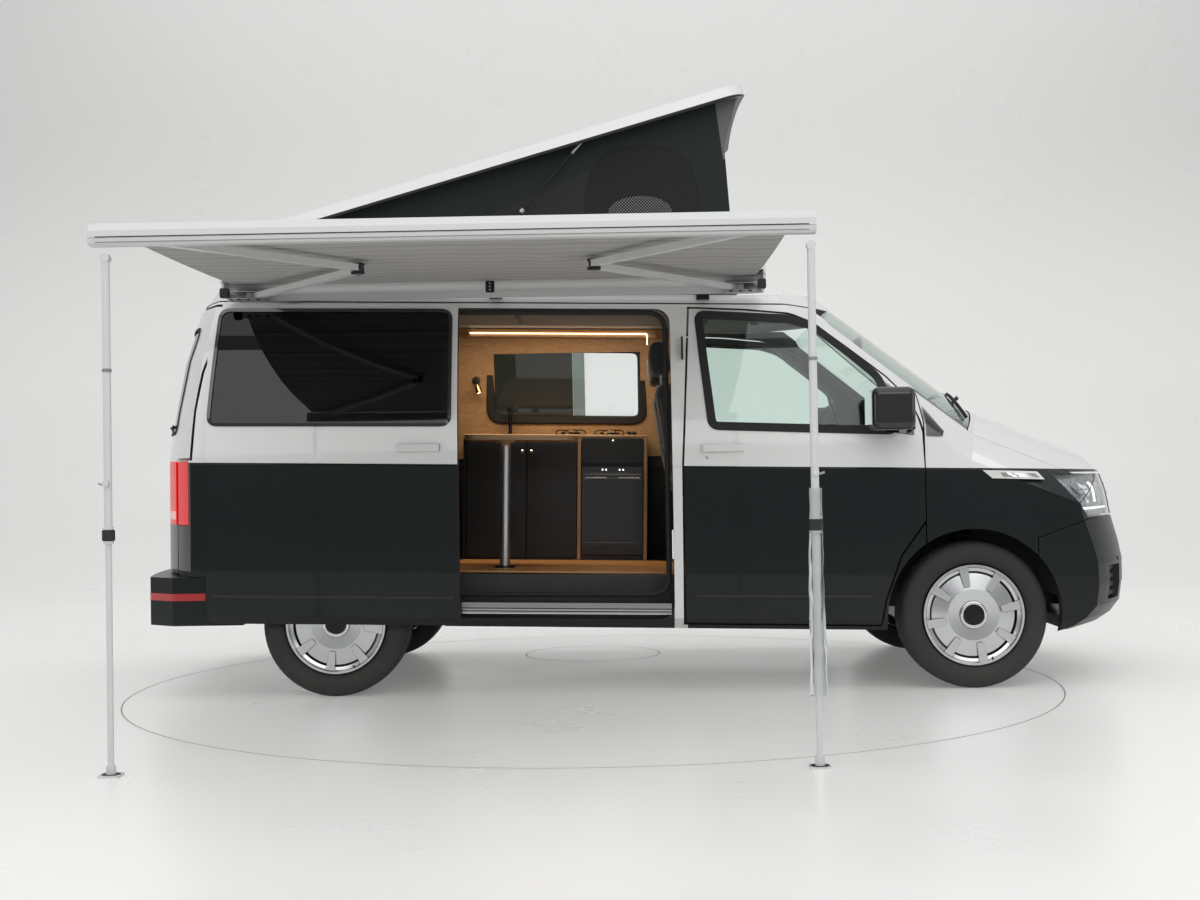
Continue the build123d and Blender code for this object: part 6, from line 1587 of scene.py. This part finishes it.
# %% leg fittings and the plastic sleeve
for end, x in LEG_X.items():
    grip = turned([(0.0185, -0.020), (0.0225, -0.016), (0.0225, 0.016), (0.0185, 0.020)], (x, LEG_Y, 0.842),
                  (0, 0, 1), 28)
    piece(f"leg_collar_{end}", grip, M["black"], f"leg_tube_{end}")
    side = -1 if end == "rear" else 1
    bridge = tube([(x + side * 0.016, LEG_Y, 1.018), (x + side * 0.034, LEG_Y, 1.024)], 0.004, 8)
    piece(f"leg_knob_stem_{end}", bridge, M["steel"], f"leg_tube_{end}")
    disc_on(f"leg_pad_{end}", (x, LEG_Y, 0.0), (0, 0, 1), 0.034, 0.009, "black", f"leg_rod_{end}", dome=0.05)
    strap = turned([(0.0148, -0.006), (0.0165, -0.005), (0.0165, 0.005), (0.0148, 0.006)], (x, LEG_Y, 1.42),
                   (0, 0, 1), 24)
    piece(f"leg_band_{end}", strap, M["coat_grey"], f"leg_tube_{end}")
turn, climb = np.linspace(0, 2 * pi, 40, endpoint=False)[None, :], np.linspace(0, 1, 60)[:, None]
radius = 0.0200 + 0.0100 * (1 - climb) ** 0.6 + 0.0016 * np.sin(3 * turn + 9 * climb)
radius = radius + 0.001 * np.sin(40 * climb + 2 * turn)
sleeve_grid = together(LEG_X["front"] + radius * np.cos(turn), LEG_Y + radius * 0.85 * np.sin(turn),
                       0.250 + 0.720 * climb)
sleeve_shape = sleeve_grid.reshape(-1, 3), grid_quads(climb.size, turn.size, close_columns=True)
sleeve = piece("leg_sleeve", sleeve_shape, M["sleeve"], "leg_tube_front")
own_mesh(sleeve)
print("awning dressed")

# %% [markdown]
# ## Under the van
# Springs are a helix carried round the damper. They stand behind the wheels and are glimpsed through the arches.


# %% springs and dampers
def coil(name, x, y, low, high, radius, wire, turns):
    """A helix of round wire between two heights."""
    a = np.linspace(0, 2 * pi * turns, int(turns * 24))
    path = np.stack([x + radius * np.cos(a), y + radius * np.sin(a), low + (high - low) * a / a[-1]], 1)
    piece(name, tube(path, wire, 8), M["dark_steel"], "body")


for side, hand in HANDS:
    coil(f"front_spring_{hand}", 1.50, side * 0.600, 0.500, 0.740, 0.048, 0.007, 5.5)
    damper = turned([(0.001, 0), (0.026, 0), (0.026, 0.17), (0.014, 0.175), (0.014, 0.37), (0.001, 0.37)],
                    (1.50, side * 0.600, 0.385), (0, 0, 1), 24)
    piece(f"front_damper_{hand}", damper, M["black"], "body")
    coil(f"rear_spring_{hand}", -1.36, side * 0.560, 0.385, 0.560, 0.050, 0.008, 4.5)
    damper = turned([(0.001, 0), (0.024, 0), (0.024, 0.2), (0.012, 0.205), (0.012, 0.34), (0.001, 0.34)],
                    (-1.640, side * 0.600, 0.330), (0.22, 0, 1), 24)
    piece(f"rear_damper_{hand}", damper, M["black"], "body")
print("underbody dressed")

# %% [markdown]
# ## Studio, lamps and camera
# A pale floor curves up into a wall, with the thin joints of a turntable in it. The wall gives off a little light of
# its own, but only to the eye and to what mirrors it, so it looks bright without lighting the van. Wide soft lamps do
# that. These pieces are staging and aren't part of the van.

# %% studio
STUDIO = (0.80, 0.80, 0.785)
BEND_Y, BEND_RADIUS, WALL_TOP, STUDIO_HALF = 4.6, 2.2, 9.0, 14
TURNTABLE = ((-0.295, -0.556, 2.231), (-0.329, 0.717, 0.386))  # x, y and radius of each joint


def staged(name, shape, mat):
    """A piece of the studio."""
    mesh = mesh_of(name, shape)
    smooth_all(mesh)
    mesh.materials.append(mat)
    in_scene(name, mesh)


def studio_finish():
    """Smooth pale paint with faint scuffs, a little brighter to the eye than its lamps make it, clear from behind."""
    mat, tree, shader = material("studio_white", STUDIO, 0.22)
    coords = put(tree, "TexCoord").outputs["Object"]
    scuff = put(tree, "TexNoise", {"Vector": coords, "Scale": 0.8, "Detail": 8.0, "Roughness": 0.65})
    rough = maths(tree, "MULTIPLY_ADD", scuff.outputs["Fac"], 0.3, 0.16)
    mark = put(tree, "TexNoise", {"Vector": coords, "Scale": 3.0, "Detail": 6.0})
    spots = maths(tree, "MULTIPLY", band(tree, mark.outputs["Fac"], 0.62, 0.75), 0.12)
    colour = mix_colour(tree, spots, (*STUDIO, 1), (0.70, 0.66, 0.59, 1))
    height = put(tree, "SeparateXYZ", {0: coords}).outputs["Z"]
    low = one_less(tree, band(tree, height, 1.8, 4.6))
    path = put(tree, "LightPath").outputs
    mirrored = maths(tree, "MAXIMUM", path["Is Glossy Ray"], path["Is Transmission Ray"])
    seen = maths(tree, "MAXIMUM", path["Is Camera Ray"], mirrored)
    lift = maths(tree, "MULTIPLY", maths(tree, "MULTIPLY_ADD", low, 0.17, 0.02), seen)
    feed(tree, shader, Base_Color=colour, Roughness=rough, Emission_Color=colour, Emission_Strength=lift)
    behind = put(tree, "NewGeometry").outputs["Backfacing"]
    open_back = put(tree, "MixShader", {0: behind, 1: shader.outputs[0], 2: put(tree, "BsdfTransparent").outputs[0]})
    tree.links.new(open_back.outputs[0], tree.nodes["Material Output"].inputs["Surface"])
    return mat


bend = np.linspace(0.08, pi / 2, 20)
wall_y = np.concatenate([[-6.5, BEND_Y], BEND_Y + BEND_RADIUS * np.sin(bend), [BEND_Y + BEND_RADIUS]])
wall_z = np.concatenate([[0.0, 0.0], BEND_RADIUS - BEND_RADIUS * np.cos(bend), [WALL_TOP]])
wall_x = np.array([[-STUDIO_HALF], [STUDIO_HALF]])
wall = together(wall_x, wall_y, wall_z).reshape(-1, 3), grid_quads(2, len(wall_y))[:, ::-1]
staged("studio", wall, studio_finish())
joints = [turned([(radius - 0.006, 0.0006), (radius, 0.0006)], (x, y, 0.0), (0, 0, 1), 160)
          for x, y, radius in TURNTABLE]
staged("turntable_joint", join(*joints), plain("joint_dark", (0.35, 0.34, 0.32), 0.6))


# %% lamps and world
def area_light(name, place, target, width, height, watts, colour=(1, 1, 1)):
    """A rectangular lamp at a place, turned towards a target."""
    light = bpy.data.lights.new(name, "AREA")
    light.shape, light.size, light.size_y, light.energy, light.color = "RECTANGLE", width, height, watts, colour
    obj = in_scene(name, light)
    obj.location = place
    obj.rotation_euler = (Vector(target) - Vector(place)).to_track_quat("-Z", "Y").to_euler()


area_light("sky_panel", (0, -3.0, 7.2), (0, -1.0, 0), 13, 9, 330)
area_light("front_panel", (0.5, -9.5, 4.6), (0, 0, 1.0), 12, 4.0, 250)
area_light("left_panel", (-8.5, -3.0, 3.5), (0, 0, 1.2), 5, 4, 60)
area_light("right_panel", (8.5, -3.0, 3.5), (0, 0, 1.2), 5, 4, 60)
area_light("cabin_strip", (-0.55, 0.30, 1.80), (-0.55, 0.45, 0.6), 1.0, 0.12, 7, (1.0, 0.80, 0.56))
area_light("wall_wash", (0, 3.0, 8.0), (0, 7.0, 2.0), 14, 2.5, 120)

world = bpy.data.worlds.new("studio_world")
bpy.context.scene.world = world
world.use_nodes = True
world.node_tree.nodes["Background"].inputs["Color"].default_value = (0.86, 0.87, 0.88, 1)
world.node_tree.nodes["Background"].inputs["Strength"].default_value = 0.42

# %% camera, turned a little right and up, and tipped by a degree
EYE, YAW, PITCH, ROLL = (-0.1076, -8.2788, 1.0298), radians(1.0301), radians(0.8796), radians(-0.9065)
camera_data = bpy.data.cameras.new("camera")
camera_data.lens, camera_data.sensor_width = 46.894, 36.0
camera = in_scene("camera", camera_data)
ahead = Vector((-sin(YAW) * cos(PITCH), cos(YAW) * cos(PITCH), sin(PITCH)))
level_right = Vector((cos(YAW), sin(YAW), 0))
level_up = level_right.cross(ahead)
right = level_right * cos(ROLL) + level_up * sin(ROLL)
above = right.cross(ahead)
camera.matrix_world = Matrix((*[(right[i], above[i], -ahead[i], EYE[i]) for i in range(3)], (0, 0, 0, 1)))
bpy.context.scene.camera = camera
bpy.context.scene.view_settings.view_transform = "Standard"
